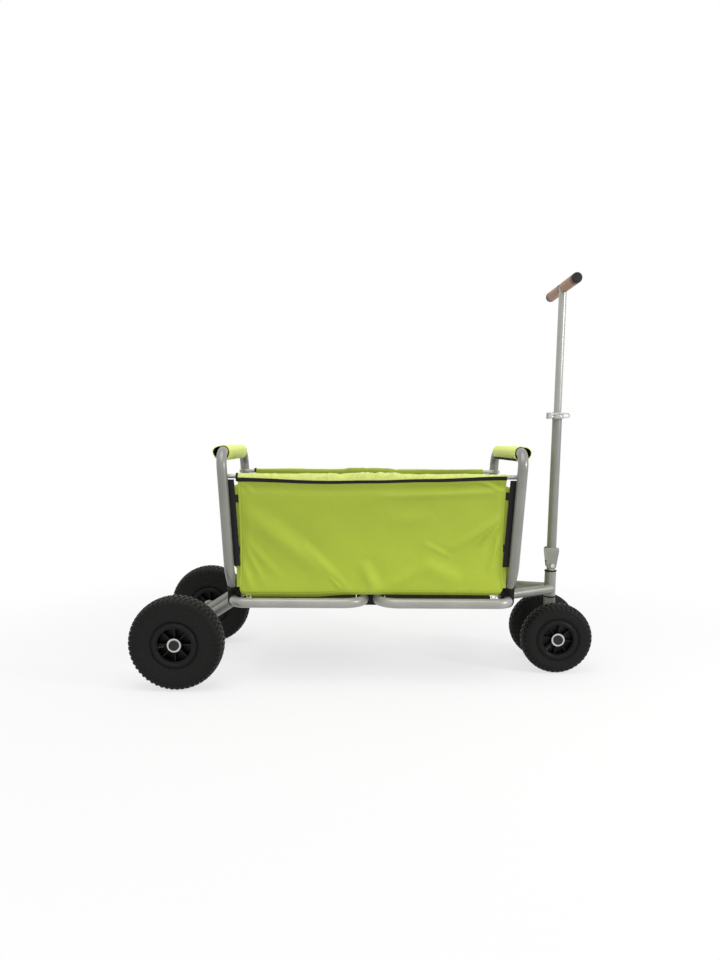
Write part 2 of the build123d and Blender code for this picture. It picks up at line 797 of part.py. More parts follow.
# Height clamp: a split collar, its bolt and a wire lever
collar_bottom = drawbar_top + top_bush_flange - collar_height
collar_mid = collar_bottom + collar_height / 2
collar_r = tube_r + collar_wall
collar_bolt_x = steer_x - collar_r - collar_lug / 2
lever_y = -(collar_r + lever_wire / 2 + lever_gap)
with BuildPart() as collar:
    lug_width = collar_slit + 2 * collar_wall
    with BuildSketch(Plane(origin=(steer_x, 0, collar_bottom))):
        Circle(collar_r)
        with Locations((-(collar_r + collar_lug) / 2, 0)):
            Rectangle(collar_r + collar_lug, lug_width)
        Circle(tube_r, mode=Mode.SUBTRACT)
        with Locations((-(collar_r + collar_lug) / 2, 0)):
            Rectangle(collar_r + collar_lug, collar_slit, mode=Mode.SUBTRACT)
    extrude(amount=collar_height)
    lug_half = lug_width / 2
    add_along_y(collar_bolt_x, collar_mid, collar_bolt_od, -lug_half, lug_half)
    add_along_y(collar_bolt_x, collar_mid, collar_bolt_head_od, lug_half, lug_half + collar_bolt_head)
    for ear_bottom in (collar_bottom, collar_bottom + collar_height - lever_ear):
        with BuildSketch(Plane(origin=(collar_bolt_x, 0, ear_bottom))):
            with Locations((0, (lever_y - lug_half) / 2)):
                Rectangle(lever_ear_width, -lever_y - lug_half)
            with Locations((0, lever_y)):
                Circle(lever_ear_width / 2)
        extrude(amount=lever_ear)
    with BuildSketch(Plane(origin=(collar_bolt_x, lever_y, collar_bottom))):
        Circle(lever_pin_od / 2)
    extrude(amount=collar_height)
save(collar, "drawbar_collar")

with BuildPart() as lever:
    eye_height = collar_height - 2 * lever_ear - 2 * end_play
    eye_r = lever_pin_od / 2 + lever_wire
    root_half = (eye_height - lever_wire) / 2 - lever_inset
    loop_half = (lever_loop_height - lever_wire) / 2
    loop_start = collar_bolt_x + lever_pin_od / 2 + lever_wire / 2
    loop_flare = loop_start + lever_flare
    loop_tip = collar_bolt_x + lever_reach
    with BuildLine() as loop:
        FilletPolyline(
            (loop_start, lever_y, collar_mid - root_half),
            (loop_flare, lever_y, collar_mid - loop_half),
            (loop_tip, lever_y, collar_mid - loop_half),
            (loop_tip, lever_y, collar_mid + loop_half),
            (loop_flare, lever_y, collar_mid + loop_half),
            (loop_start, lever_y, collar_mid + root_half),
            radius=loop_half - end_play,
        )
    with BuildSketch(Plane(origin=loop.line @ 0, z_dir=loop.line % 0)):
        Circle(lever_wire / 2)
    sweep(path=loop.line)
    with BuildSketch(Plane(origin=(collar_bolt_x, lever_y, collar_mid - eye_height / 2))):
        Circle(eye_r)
    extrude(amount=eye_height)
    with BuildSketch(Plane(origin=(collar_bolt_x, lever_y, collar_mid - eye_height / 2))):
        Circle(lever_pin_od / 2 + running_clearance)
    extrude(amount=eye_height, mode=Mode.SUBTRACT)
save(lever, "collar_lever")

# Grip on the cross bar: two sleeves and two end caps
with BuildPart() as sleeves:
    for side in (LEFT, RIGHT):
        add_along_y(steer_x, grip_height, grip_od, side * grip_gap / 2, side * cross_half)
    cut_along_y(steer_x, grip_height, upper_od, -cross_half, cross_half)
save(sleeves, "grip_sleeves")
with BuildPart() as grip_caps:
    for side in (LEFT, RIGHT):
        add_along_y(steer_x, grip_height, grip_od, side * cross_half, side * grip_length / 2)
    rims_of_caps = grip_caps.edges().filter_by(GeomType.CIRCLE).group_by(Axis.Y)
    fillet(rims_of_caps[0] + rims_of_caps[-1], grip_cap_round)
save(grip_caps, "grip_end_caps")
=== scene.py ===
"""Folding wagon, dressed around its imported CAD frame: tyres, cloth, trim, finishes and the stage."""

import math

import bmesh
import bpy
from mathutils import Matrix, Vector, noise


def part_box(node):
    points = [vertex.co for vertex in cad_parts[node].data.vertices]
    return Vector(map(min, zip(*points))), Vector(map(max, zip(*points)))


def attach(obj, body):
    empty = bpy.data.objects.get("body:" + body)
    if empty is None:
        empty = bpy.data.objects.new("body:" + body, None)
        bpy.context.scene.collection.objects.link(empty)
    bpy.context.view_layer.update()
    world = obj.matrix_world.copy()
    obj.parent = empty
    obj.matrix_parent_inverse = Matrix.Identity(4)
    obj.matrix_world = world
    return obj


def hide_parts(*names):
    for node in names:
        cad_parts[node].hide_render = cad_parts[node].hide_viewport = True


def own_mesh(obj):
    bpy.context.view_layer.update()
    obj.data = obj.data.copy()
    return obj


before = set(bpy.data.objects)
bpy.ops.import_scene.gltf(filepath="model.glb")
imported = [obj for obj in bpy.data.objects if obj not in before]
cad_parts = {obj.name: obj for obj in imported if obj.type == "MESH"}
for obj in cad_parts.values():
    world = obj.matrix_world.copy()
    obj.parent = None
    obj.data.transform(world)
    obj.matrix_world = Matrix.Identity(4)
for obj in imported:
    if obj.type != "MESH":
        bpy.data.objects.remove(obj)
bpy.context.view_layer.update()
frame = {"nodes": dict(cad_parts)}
nodes = frame["nodes"]

bl_info = {
    "name": "Folding Wagon",
    "version": (1, 0, 0),
    "blender": (4, 5, 0),
    "location": "View3D > Sidebar > Wagon",
    "description": "Dresses the packed folding wagon with tyres, cloth, trim and finishes",
    "category": "Object",
}

SIDES = {"left": 1, "right": -1}
ENDS = {"rear": -1, "front": 1}

# Where the frame carries the cloth, in metres: the basket's middle and reach, the rails, the uprights
MIDDLE_X = 0.004
PANEL_REACH = 0.3665
RAIL_Y = 0.191
FLOOR_TUBE_Z = 0.233
UPRIGHT_FOOT = 0.387
LEAN = math.tan(math.radians(3.1))


def srgb(red, green, blue):
    """A colour picked on a screen, 0 to 255, as the linear values that sockets take."""
    def line(part):
        part = part / 255
        return part / 12.92 if part <= 0.04045 else ((part + 0.055) / 1.055) ** 2.4
    return (line(red), line(green), line(blue), 1.0)


def along(stops, x):
    """A smooth value at x through (x, value) stops in rising order."""
    if x <= stops[0][0]:
        return stops[0][1]
    for (x0, v0), (x1, v1) in zip(stops, stops[1:]):
        if x <= x1:
            t = (x - x0) / (x1 - x0)
            return v0 + (v1 - v0) * t * t * (3 - 2 * t)
    return stops[-1][1]


def step(x, low, high):
    """0 below low, 1 above high, smooth between them."""
    t = min(1.0, max(0.0, (x - low) / (high - low)))
    return t * t * (3 - 2 * t)


def hump(x, middle, width):
    """A smooth hump, 1 high, at middle."""
    return math.exp(-((x - middle) / width) ** 2)


def upright_reach(z):
    """How far an upright's middle stands from the wagon's middle at height z."""
    return UPRIGHT_FOOT + (z - FLOOR_TUBE_Z) * LEAN


class Wire:
    """An output socket of a node tree. Arithmetic on it adds Math nodes."""

    def __init__(self, tree, socket=None):
        self.tree = tree
        self.socket = socket

    def node(self, kind, settings=None, sockets=None, out=0):
        """Adds a node: its settings first, then the values or links of its sockets."""
        made = self.tree.nodes.new("ShaderNode" + kind)
        for key, value in (settings or {}).items():
            if key == "stops":
                for stop, (place, colour) in zip(made.color_ramp.elements, value):
                    stop.position = place
                    stop.color = colour
            else:
                setattr(made, key, value)
        for key, value in (sockets or {}).items():
            if isinstance(value, Wire):
                self.tree.links.new(value.socket, made.inputs[key])
            else:
                made.inputs[key].default_value = value
        return Wire(self.tree, made.outputs[out] if made.outputs else None)

    def maths(self, operation, *values):
        """Adds a Math node that works on the values, which are numbers or wires."""
        return self.node("Math", {"operation": operation}, dict(enumerate(values)))

    def __add__(self, other):
        return self.maths("ADD", self, other)

    def __sub__(self, other):
        return self.maths("SUBTRACT", self, other)

    def __rsub__(self, other):
        return self.maths("SUBTRACT", other, self)

    def __mul__(self, other):
        return self.maths("MULTIPLY", self, other)

    def __pow__(self, other):
        return self.maths("POWER", self, other)

    def wave(self, pitch):
        """A sine, -1 to 1, that comes back after each pitch."""
        return self.maths("SINE", self * (2 * math.pi / pitch))

    def unsigned(self):
        """The value without its sign."""
        return self.maths("ABSOLUTE", self)

    def step(self, low, high):
        """0 below low, 1 above high, smooth between them."""
        return self.node("MapRange", {"interpolation_type": "SMOOTHSTEP"},
                         {"Value": self, "From Min": low, "From Max": high})


def start_finish(name):
    """A new empty material, and the wire from which its nodes are added."""
    material = bpy.data.materials.new(name)
    material.use_nodes = True
    material.node_tree.nodes.clear()
    return material, Wire(material.node_tree)


def end_finish(root, colour, roughness, relief=None, depth=0.001, strength=0.5, **fixed):
    """Adds the shader and the output; relief is a height from 0 to 1 for the bump."""
    sockets = {"Base Color": colour, "Roughness": roughness}
    sockets.update({key.replace("_", " "): value for key, value in fixed.items()})
    if relief is not None:
        bump = {"Strength": strength, "Distance": depth, "Height": relief}
        sockets["Normal"] = root.node("Bump", None, bump)
    shader = root.node("BsdfPrincipled", None, sockets)
    root.node("OutputMaterial", None, {"Surface": shader})


def object_place(root):
    """The place of a point in the object's own frame."""
    return root.node("TexCoord", None, None, "Object")


def parts_of(root, place):
    """A place's X, Y and Z as three wires."""
    split = root.node("SeparateXYZ", None, {0: place})
    outs = split.socket.node.outputs
    return [Wire(root.tree, outs[i]) for i in range(3)]


def grains(root, place, scale, detail=3.0, rough=0.55):
    """Cloudy noise from 0 to 1, with about scale patches to the metre."""
    sockets = {"Vector": place, "Scale": scale, "Detail": detail, "Roughness": rough}
    return root.node("TexNoise", None, sockets)


def tint(root, share, first, second):
    """A colour between first, share 0, and second, share 1."""
    return root.node("Mix", {"data_type": "RGBA"}, {0: share, 6: first, 7: second}, 2)


def shade(colour, times):
    """A colour made lighter or darker."""
    return tuple(part * times for part in colour[:3]) + (1.0,)


def seen_rays(root):
    """1 for what the camera or a reflection sees, 0 for the light that falls on the object."""
    rays = root.node("LightPath").socket.node.outputs
    return Wire(root.tree, rays["Is Camera Ray"]) + Wire(root.tree, rays["Is Glossy Ray"])


def paint_finish(name, colour, roughness=0.34, metal=0.25):
    """Satin powder coat: faint cloudiness, darker specks and fine orange peel."""
    material, root = start_finish(name)
    place = object_place(root)
    cloud = grains(root, place, 14, 4)
    speck = grains(root, place, 900, 2)
    base = tint(root, cloud.step(0.35, 0.7), shade(colour, 0.93), shade(colour, 1.05))
    base = tint(root, speck.step(0.62, 0.72) * 0.18, base, shade(colour, 0.7))
    end_finish(root, base, cloud * 0.12 + (roughness - 0.06), grains(root, place, 520, 2),
               0.0005, 0.15, Metallic=metal)
    return material


def steel_finish(name, colour, roughness=0.3):
    """Zinc plated steel: bright, with soft patches and hairline marks."""
    material, root = start_finish(name)
    place = object_place(root)
    patch = grains(root, place, 60, 4)
    hair = grains(root, root.node("Mapping", None, {"Vector": place, "Scale": (1, 1, 14)}), 300, 2)
    base = tint(root, patch.step(0.3, 0.7), shade(colour, 0.85), colour)
    end_finish(root, base, patch * 0.2 + (roughness - 0.1), hair, 0.0003, 0.2, Metallic=0.85)
    return material


def plastic_finish(name, colour, roughness=0.5, grain=700, shine=0.35):
    """Moulded plastic: fine spark texture, slightly uneven gloss and scuffed patches."""
    material, root = start_finish(name)
    place = object_place(root)
    scuff = grains(root, place, 45, 5)
    base = tint(root, scuff.step(0.45, 0.75), colour, shade(colour, 1.5))
    end_finish(root, base, scuff * 0.2 + (roughness - 0.1), grains(root, place, grain, 2),
               0.0005, 0.3, Specular_IOR_Level=shine)
    return material


def rubber_finish(name, colour, axle, inner, outer, crown):
    """Tyre rubber: moulded rings on the sidewall, a dusty tread whose crown is painted paler,
    partly dust and partly painted highlight, and a dull bloom.
    The rings fade out at the sidewall's inner and outer radius; crown is the tread's radius."""
    ring_pitch, fade = 0.0035, 0.004
    material, root = start_finish(name)
    place = object_place(root)
    x, _, z = parts_of(root, place)
    dx = x - axle[0]
    dz = z - axle[2]
    radius = (dx * dx + dz * dz) ** 0.5
    rings = radius.wave(ring_pitch)
    wall = radius.step(inner, inner + fade) * (1 - radius.step(outer - fade, outer))
    dust = grains(root, place, 70, 5)
    base = tint(root, dust.step(0.45, 0.8) * 0.4, colour, shade(colour, 2.2))
    # Painted highlight mixed with dust: the tread's crown is paler all round, standing for the light on
    # the lugs' outer faces
    crown_dust_and_highlight = radius.step(0.955 * crown, 0.99 * crown) * (dust * 0.6 + 0.3)
    base = tint(root, crown_dust_and_highlight, base, shade(colour, 6.5))
    relief = rings * wall * 0.4 + grains(root, place, 800, 2) * 0.4
    end_finish(root, base, dust * 0.16 + 0.5, relief, 0.0008, 0.5, Specular_IOR_Level=0.18)
    return material


def cloth_finish(name, colour, pale, foot=1.0, top=1.0, crinkle=0.0, pitch=0.0011):
    """Coated polyester: plain weave, soft shading between threads and faint pale creases.
    foot and top are painted shades of the cloth at its bottom and at its rim, standing for the
    light that falls there, and below the hem line it is painted darker still as shade. crinkle is
    how strongly the cloth is crumpled and how dark the painted shade in its creases is."""
    bottom, rim = 0.25, 0.56
    hem_line = (0.258, 0.268)
    material, root = start_finish(name)
    place = object_place(root)
    x, y, z = parts_of(root, place)
    weave = (x + y).wave(pitch) * z.wave(pitch) * 0.5 + 0.5
    cloud = grains(root, place, 9, 4)
    crease = grains(root, place, 70, 6, 0.7)
    # Painted shade: lighter at the cloth's foot and darker up towards its rim, standing for the light
    # that falls on the basket's sides
    base = tint(root, z.step(bottom, rim), shade(colour, foot), shade(colour, top))
    # Painted shade: darker again below the hem line at the bottom
    base = tint(root, z.step(*hem_line), shade(colour, 0.74 * foot), base)
    base = tint(root, cloud.step(0.3, 0.72) * 0.06, base, shade(colour, 0.4))
    base = tint(root, crease.step(0.6, 0.8) * 0.25, base, pale)
    base = tint(root, weave * 0.08, base, shade(colour, 0.6))
    relief = weave * 0.6 + crease * 0.6
    if crinkle:
        crumple = grains(root, place, 42, 3, 0.6)
        # Painted shade: thin darker lines where the crumple noise crosses its middle, standing for shade
        # in the creases
        marks = (crumple - 0.5).unsigned()
        base = tint(root, (1 - marks.step(0.005, 0.05)) * (0.036 * crinkle), base, shade(colour, 0.62))
        relief = relief + crumple * crinkle
    end_finish(root, base, crease * 0.12 + 0.52, relief, 0.0006, 0.25,
               Sheen_Weight=0.12, Sheen_Roughness=0.4)
    return material


def tape_finish(name, colour, pitch=0.0016):
    """Woven binding tape: close slanting ribs, and paler fluff where it has worn."""
    slant = 0.35
    material, root = start_finish(name)
    place = object_place(root)
    x, y, z = parts_of(root, place)
    ribs = (x + y + z * slant).wave(pitch)
    fluff = grains(root, place, 380, 4)
    base = tint(root, fluff.step(0.5, 0.8) * 0.6, colour, shade(colour, 2.2))
    end_finish(root, base, fluff * 0.1 + 0.68, ribs * 0.3 + fluff * 0.5, 0.0006, 0.5,
               Specular_IOR_Level=0.2)
    return material


def board_finish(name, colour):
    """Black covered board: a close grained skin, paler and duller where it has been rubbed."""
    material, root = start_finish(name)
    place = object_place(root)
    rub = grains(root, place, 20, 5)
    pebble = root.node("TexVoronoi", {"feature": "DISTANCE_TO_EDGE"}, {"Vector": place, "Scale": 900})
    base = tint(root, rub.step(0.45, 0.8) * 0.6, colour, shade(colour, 2.4))
    end_finish(root, base, rub * 0.2 + 0.5, pebble, 0.0004, 0.5, Specular_IOR_Level=0.2)
    return material


def grip_finish(name, pale, mid, dark, middle, half):
    """Streaky brown sleeve whose ends, half from its middle along Y, go dark and reddish."""
    dark_from, dark_to = half - 0.028, half - 0.004
    material, root = start_finish(name)
    place = object_place(root)
    _, y, _ = parts_of(root, place)
    stretched = root.node("Mapping", None, {"Vector": place, "Scale": (9, 1, 9)})
    streak = grains(root, stretched, 26, 6, 0.7)
    fleck = grains(root, place, 420, 3)
    base = tint(root, streak.step(0.3, 0.72), mid, pale)
    base = tint(root, fleck.step(0.6, 0.8) * 0.25, base, dark)
    base = tint(root, (y - middle).unsigned().step(dark_from, dark_to), base, dark)
    end_finish(root, base, streak * 0.2 + 0.45, streak * 0.5 + fleck * 0.5, 0.0008, 0.4)
    return material


def piece_from(bm, name, *finishes, sharp=None):
    """Turns a finished bmesh into a smooth shaded object at the origin, crisp at open edges."""
    for face in bm.faces:
        face.smooth = True
    for edge in bm.edges:
        edge.smooth = not edge.is_boundary
    mesh = bpy.data.meshes.new(name)
    bm.to_mesh(mesh)
    bm.free()
    for material in finishes:
        mesh.materials.append(material)
    if sharp is not None:
        mesh.set_sharp_from_angle(angle=math.radians(sharp))
    piece = bpy.data.objects.new(name, mesh)
    bpy.context.scene.collection.objects.link(piece)
    return piece


def thicken(piece, thickness, offset=-1.0, inner=0, rim=0):
    """Gives a sheet its thickness; inner and rim choose other finishes for its back and edge."""
    wall = piece.modifiers.new("thickness", "SOLIDIFY")
    wall.thickness = thickness
    wall.offset = offset
    wall.use_even_offset = False
    wall.material_offset = inner
    wall.material_offset_rim = rim


def soften(piece, width, angle=35):
    """Takes the edge off corners that are sharper than angle."""
    edge = piece.modifiers.new("edge", "BEVEL")
    edge.width = width
    edge.segments = 1
    edge.limit_method = "ANGLE"
    edge.angle_limit = math.radians(angle)


def spin_line(bm, line, centre, axis, steps, closed=True):
    """Spins a line of points about an axis, all the way round."""
    verts = [bm.verts.new(point) for point in line]
    first = 0 if closed else 1
    edges = [bm.edges.new((verts[i - 1], verts[i])) for i in range(first, len(verts))]
    bmesh.ops.spin(bm, geom=verts + edges, cent=centre, axis=axis, dvec=(0, 0, 0),
                   angle=2 * math.pi, steps=steps, use_merge=True, use_duplicate=False)


def weld(bm):
    """Joins points that meet, and turns all faces outwards."""
    bmesh.ops.remove_doubles(bm, verts=bm.verts, dist=1e-6)
    bmesh.ops.recalc_face_normals(bm, faces=bm.faces)


def spun_ring(sections, centre, steps):
    """Spins closed sections of (radius, across) points about the Y axis through centre."""
    bm = bmesh.new()
    for section in sections:
        line = [(centre[0] + r, centre[1] + a, centre[2]) for r, a in section]
        spin_line(bm, line, centre, (0, 1, 0), steps)
    weld(bm)
    return bm


def sheet_grid(columns, rows, place, *more, bm=None):
    """A grid of cloth: place takes shares across and along, then more, and gives each point."""
    bm = bm or bmesh.new()
    made = bmesh.ops.create_grid(bm, x_segments=columns, y_segments=rows, size=0.5)
    for vert in made["verts"]:
        vert.co = place(vert.co.x + 0.5, vert.co.y + 0.5, *more)
    return bm


def face_out(bm, out):
    """Turns all faces to one side, the one for which out(face) sums to more than 0."""
    bmesh.ops.recalc_face_normals(bm, faces=bm.faces)
    if sum(out(face) for face in bm.faces) < 0:
        bmesh.ops.reverse_faces(bm, faces=bm.faces)


class WagonCloth(bpy.types.PropertyGroup):
    """Sizes and colours of the basket's cloth and the handle pads."""

    cloth: bpy.props.FloatVectorProperty(
        name="Cloth", description="Colour of the basket's cloth", subtype="COLOR", size=4,
        min=0, max=1, default=srgb(175, 193, 50))
    # The rim colour is a painted highlight, a paler copy of the cloth for the light on the roll over the
    # rails; it also tints the basket cloth's pale creases
    rim: bpy.props.FloatVectorProperty(
        name="Rim", description="Colour of the cloth rolled over the rails", subtype="COLOR", size=4,
        min=0, max=1, default=srgb(213, 226, 120))
    pad: bpy.props.FloatVectorProperty(
        name="Pad", description="Colour of the handle pads", subtype="COLOR", size=4,
        min=0, max=1, default=srgb(240, 254, 122))
    tape: bpy.props.FloatVectorProperty(
        name="Tape", description="Colour of the binding tape and strips", subtype="COLOR", size=4,
        min=0, max=1, default=srgb(24, 24, 25))
    wrinkles: bpy.props.FloatProperty(
        name="Wrinkles", description="Times the depth of the drape folds", default=1.5, min=0, max=3)
    thickness: bpy.props.FloatProperty(
        name="Thickness", description="Thickness of the cloth", default=0.0011, min=0.0004,
        max=0.004, unit="LENGTH", precision=4)


class WagonWheels(bpy.types.PropertyGroup):
    """Tread and rubber of the wheels."""

    rear_lugs: bpy.props.IntProperty(
        name="Rear Lugs", description="Shoulder lugs round a rear tyre", default=54, min=8, max=90)
    front_lugs: bpy.props.IntProperty(
        name="Front Lugs", description="Shoulder lugs round a front tyre", default=42, min=8, max=90)
    lug: bpy.props.FloatProperty(
        name="Lug Height", description="Height of the tread lugs", default=0.0028, min=0.001,
        max=0.01, unit="LENGTH", precision=4)
    rubber: bpy.props.FloatVectorProperty(
        name="Rubber", description="Colour of the tyres", subtype="COLOR", size=4,
        min=0, max=1, default=srgb(19, 19, 18))
    rim: bpy.props.FloatVectorProperty(
        name="Rim", description="Colour of the moulded rims", subtype="COLOR", size=4,
        min=0, max=1, default=srgb(11, 11, 11))


class WagonMetal(bpy.types.PropertyGroup):
    """Paint and metal of the frame and the drawbar."""

    frame: bpy.props.FloatVectorProperty(
        name="Frame", description="Colour of the frame tubes", subtype="COLOR", size=4,
        min=0, max=1, default=srgb(148, 147, 142))
    drawbar: bpy.props.FloatVectorProperty(
        name="Drawbar", description="Colour of the lower drawbar tube", subtype="COLOR", size=4,
        min=0, max=1, default=srgb(136, 137, 133))
    upper: bpy.props.FloatVectorProperty(
        name="Upper Tube", description="Colour of the sliding drawbar tube", subtype="COLOR", size=4,
        min=0, max=1, default=srgb(168, 170, 164))
    steel: bpy.props.FloatVectorProperty(
        name="Steel", description="Colour of bolts, washers and links", subtype="COLOR", size=4,
        min=0, max=1, default=srgb(205, 205, 200))


class WagonStage(bpy.types.PropertyGroup):
    """Camera, lamps and floor."""

    place: bpy.props.FloatVectorProperty(
        name="Camera Place", description="Where the camera stands", subtype="TRANSLATION", size=3,
        default=(-0.0423, -2.2501, 0.6766), unit="LENGTH")
    yaw: bpy.props.FloatProperty(
        name="Yaw", description="Camera's turn to the right", subtype="ANGLE",
        default=math.radians(-0.17))
    pitch: bpy.props.FloatProperty(
        name="Pitch", description="Camera's tilt downwards", subtype="ANGLE",
        default=math.radians(8.54))
    roll: bpy.props.FloatProperty(
        name="Roll", description="Camera's roll to the right", subtype="ANGLE",
        default=math.radians(-0.26))
    lens: bpy.props.FloatProperty(
        name="Lens", description="Focal length", subtype="DISTANCE_CAMERA", default=28.11)
    shift: bpy.props.FloatVectorProperty(
        name="Shift", description="Shift of the picture's middle, as shares of its height", size=2,
        default=(0.0078, 0.0774))
    ambient: bpy.props.FloatProperty(
        name="Ambient", description="Strength of the even light", default=0.6, min=0, max=2)
    key: bpy.props.FloatProperty(
        name="Key Lamp", description="Power of the large lamp overhead", default=38.0, min=0,
        unit="POWER")
    fill: bpy.props.FloatProperty(
        name="Fill Lamp", description="Power of the small lamp to the right", default=25.0, min=0,
        unit="POWER")


def finish_nodes(material, *names):
    """Gives CAD nodes a finish through their own material slots."""
    for name in names:
        slots = nodes[name].data.materials
        slots.clear()
        slots.append(material)


def both(pattern, words):
    """The names of like nodes, one for each side or end."""
    return [pattern.format(word) for word in words]


class WAGON_OT_finishes(bpy.types.Operator):
    """Gives the frame, the drawbar, the wheels' hard parts and the boards their finishes"""

    bl_idname = "wagon.finishes"
    bl_label = "Frame Finishes"

    def execute(self, context):
        metal = context.scene.wagon_metal
        wheels = context.scene.wagon_wheels
        frame_paint = paint_finish("frame_paint", metal.frame)
        finish_nodes(frame_paint, "rear_arms", "front_arms", "head_tube", "steering_yoke",
                     "rear_axle", "drawbar_clevis", *both("{}_bottom_bar", ENDS))
        # Painted light and shade: the end frames and their bolts take a darker copy of the frame paint,
        # and the floor frames and the rails take lighter copies, standing for how the light falls on
        # them
        finish_nodes(paint_finish("upright_paint_painted_shade", shade(metal.frame, 0.86), 0.3),
                     *both("{}_end_frame", ENDS), *both("{}_rail_bolts", ENDS))
        finish_nodes(paint_finish("floor_paint_painted_light", shade(metal.frame, 1.25)),
                     *both("floor_frame_{}", ENDS))
        finish_nodes(paint_finish("rail_paint_painted_light", shade(metal.frame, 1.9), 0.3),
                     *both("rail_rear_{}", SIDES), *both("rail_front_{}", SIDES))
        finish_nodes(paint_finish("drawbar_paint", metal.drawbar), "drawbar_lower_tube")
        finish_nodes(paint_finish("drawbar_upper_paint", metal.upper, 0.3),
                     "drawbar_upper_tube")
        finish_nodes(steel_finish("bright_steel", metal.steel), "front_axle", "steering_stem",
                     "drawbar_pivot_bolt", "drawbar_collar", "collar_lever",
                     *both("{}_axle_washers", ENDS), *both("rail_link_{}", SIDES))
        rims = plastic_finish("rim_plastic", wheels.rim, 0.38, 700, 0.22)
        finish_nodes(rims, *both("rear_rim_{}", SIDES), *both("front_rim_{}", SIDES))
        black = plastic_finish("black_plastic", srgb(17, 17, 16), 0.5, 700, 0.2)
        finish_nodes(black, *both("{}_connectors", ENDS), "centre_hinge_blocks", "head_bushes",
                     "drawbar_top_bush", *both("rear_hub_bushes_{}", SIDES),
                     *both("front_hub_bushes_{}", SIDES))
        finish_nodes(plastic_finish("cap_plastic", srgb(33, 34, 32), 0.45, 700, 0.25),
                     *both("{}_axle_caps", ENDS), "grip_end_caps")
        finish_nodes(board_finish("board_black", srgb(14, 14, 14)), *both("floor_board_{}", ENDS))
        low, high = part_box("grip_sleeves")
        finish_nodes(grip_finish("grip_brown", srgb(174, 136, 111), srgb(146, 110, 87),
                                 srgb(98, 50, 34), (low.y + high.y) / 2, (high.y - low.y) / 2),
                     "grip_sleeves")
        return {"FINISHED"}


# Bead radius, half the seat's width, flange radius and half the flanges' width of each rim
TYRE_SEATS = {"rear": (0.051, 0.0305, 0.0615, 0.0345), "front": (0.049, 0.022, 0.059, 0.026)}
SEAT_GAP = 0.0004
WALL_RIB = 0.0007
# Shares of the tread's half width where the crown's lugs end and the shoulders' lugs start
CROWN_ROW, SHOULDER_ROW = 0.42, 0.52
# Shares of the tyre's radius where the lugs start, stand at full height and turn about
LUG_START, LUG_FULL, LUG_MIDDLE = 0.80, 0.95, 0.7
# Share of a lug's height that the sidewall keeps free for it, and its height low on the shoulder
LUG_SIDE, LUG_LOW = 0.8, 0.3
LUG_EDGE = 0.0006

# Inner and outer radius of each rim's lips, how far out they stand, and their height
RIM_LIPS = {"rear": (0.0508, 0.0592, 0.0347), "front": (0.0474, 0.0550, 0.0262)}
LIP_HEIGHT = 0.0030

# Radius and place across at which each valve starts, its turn in degrees, and its outline
VALVES = {"rear": (0.0475, 0.024, 190), "front": (0.045, 0.017, 226)}
VALVE_OUTLINE = [(0.0, 0.0), (0.0042, 0.0), (0.0042, 0.004), (0.003, 0.0055), (0.003, 0.010),
                 (0.0036, 0.0105), (0.0036, 0.0165), (0.0024, 0.0175), (0.0, 0.0175)]


def tyre_section(radius, half, bead, seat, flange, edge, lug):
    """A tyre's closed section as (radius, across) points, lying on the rim's flanges."""
    crown = radius - lug
    side = half - LUG_SIDE * lug
    outer = [
        (crown, 0.5 * CROWN_ROW * side), (crown - 0.0006, CROWN_ROW * side),
        (crown - 0.0012, SHOULDER_ROW * side), (crown - 0.0035, 0.74 * side),
        (crown - 0.008, 0.90 * side), (crown - 0.014, 0.97 * side), (LUG_START * radius, side),
        (0.776 * radius, side), (0.772 * radius, side + WALL_RIB),
        (0.76 * radius, side + WALL_RIB), (0.756 * radius, side),
        (0.5 * (0.75 * radius + flange), 0.98 * side), (flange + 0.009, 0.5 * (0.95 * side + edge)),
        (flange + 0.0056, edge + 0.0014), (flange + 0.0046, edge - 0.0018),
        (flange + 0.0012, edge - 0.0022), (flange + 0.0006, seat - SEAT_GAP),
        (bead + SEAT_GAP, seat - SEAT_GAP),
    ]
    inner = [
        (bead + SEAT_GAP, seat - 0.006), (flange + 0.003, seat - 0.005), (0.68 * radius, 0.84 * side),
        (0.80 * radius, 0.84 * side), (crown - 0.0105, 0.66 * side), (crown - 0.0065, 0.36 * side),
    ]
    upper = [(crown, 0.0)] + outer + inner + [(crown - 0.006, 0.0)]
    return upper + [(r, -a) for r, a in reversed(inner)] + [(r, -a) for r, a in reversed(outer)]


def tread_arm(away, radius):
    """How far a point is from the axle's line, and its direction from the middle of the tyre's wall."""
    reach = math.hypot(away.x, away.z)
    out = Vector((away.x, 0, away.z)).normalized()
    return reach, (out * (reach - LUG_MIDDLE * radius) + Vector((0, away.y, 0))).normalized()


def raise_lugs(bm, centre, radius, half, lug, count):
    """Raises staggered blocks out of the tread: one row on each shoulder and two on the crown."""
    side = half - LUG_SIDE * lug
    chosen = []
    for face in bm.faces:
        away = face.calc_center_median() - Vector(centre)
        reach, arm = tread_arm(away, radius)
        if reach < LUG_START * radius or face.normal.dot(arm) < 0.3:
            continue
        turn = math.atan2(away.z, away.x) % (2 * math.pi)
        first_half = int(turn / (2 * math.pi) * 4 * count) % 4 < 2
        across = away.y / side
        if abs(across) > SHOULDER_ROW and first_half == (across > 0):
            chosen.append(face)
        elif abs(across) < CROWN_ROW and first_half != (across > 0):
            chosen.append(face)
    grown = bmesh.ops.extrude_face_region(bm, geom=chosen)
    for vert in grown["geom"]:
        if isinstance(vert, bmesh.types.BMVert):
            reach, arm = tread_arm(vert.co - Vector(centre), radius)
            full = step(reach, LUG_START * radius, LUG_FULL * radius)
            vert.co += arm * lug * (LUG_LOW + (1 - LUG_LOW) * full)


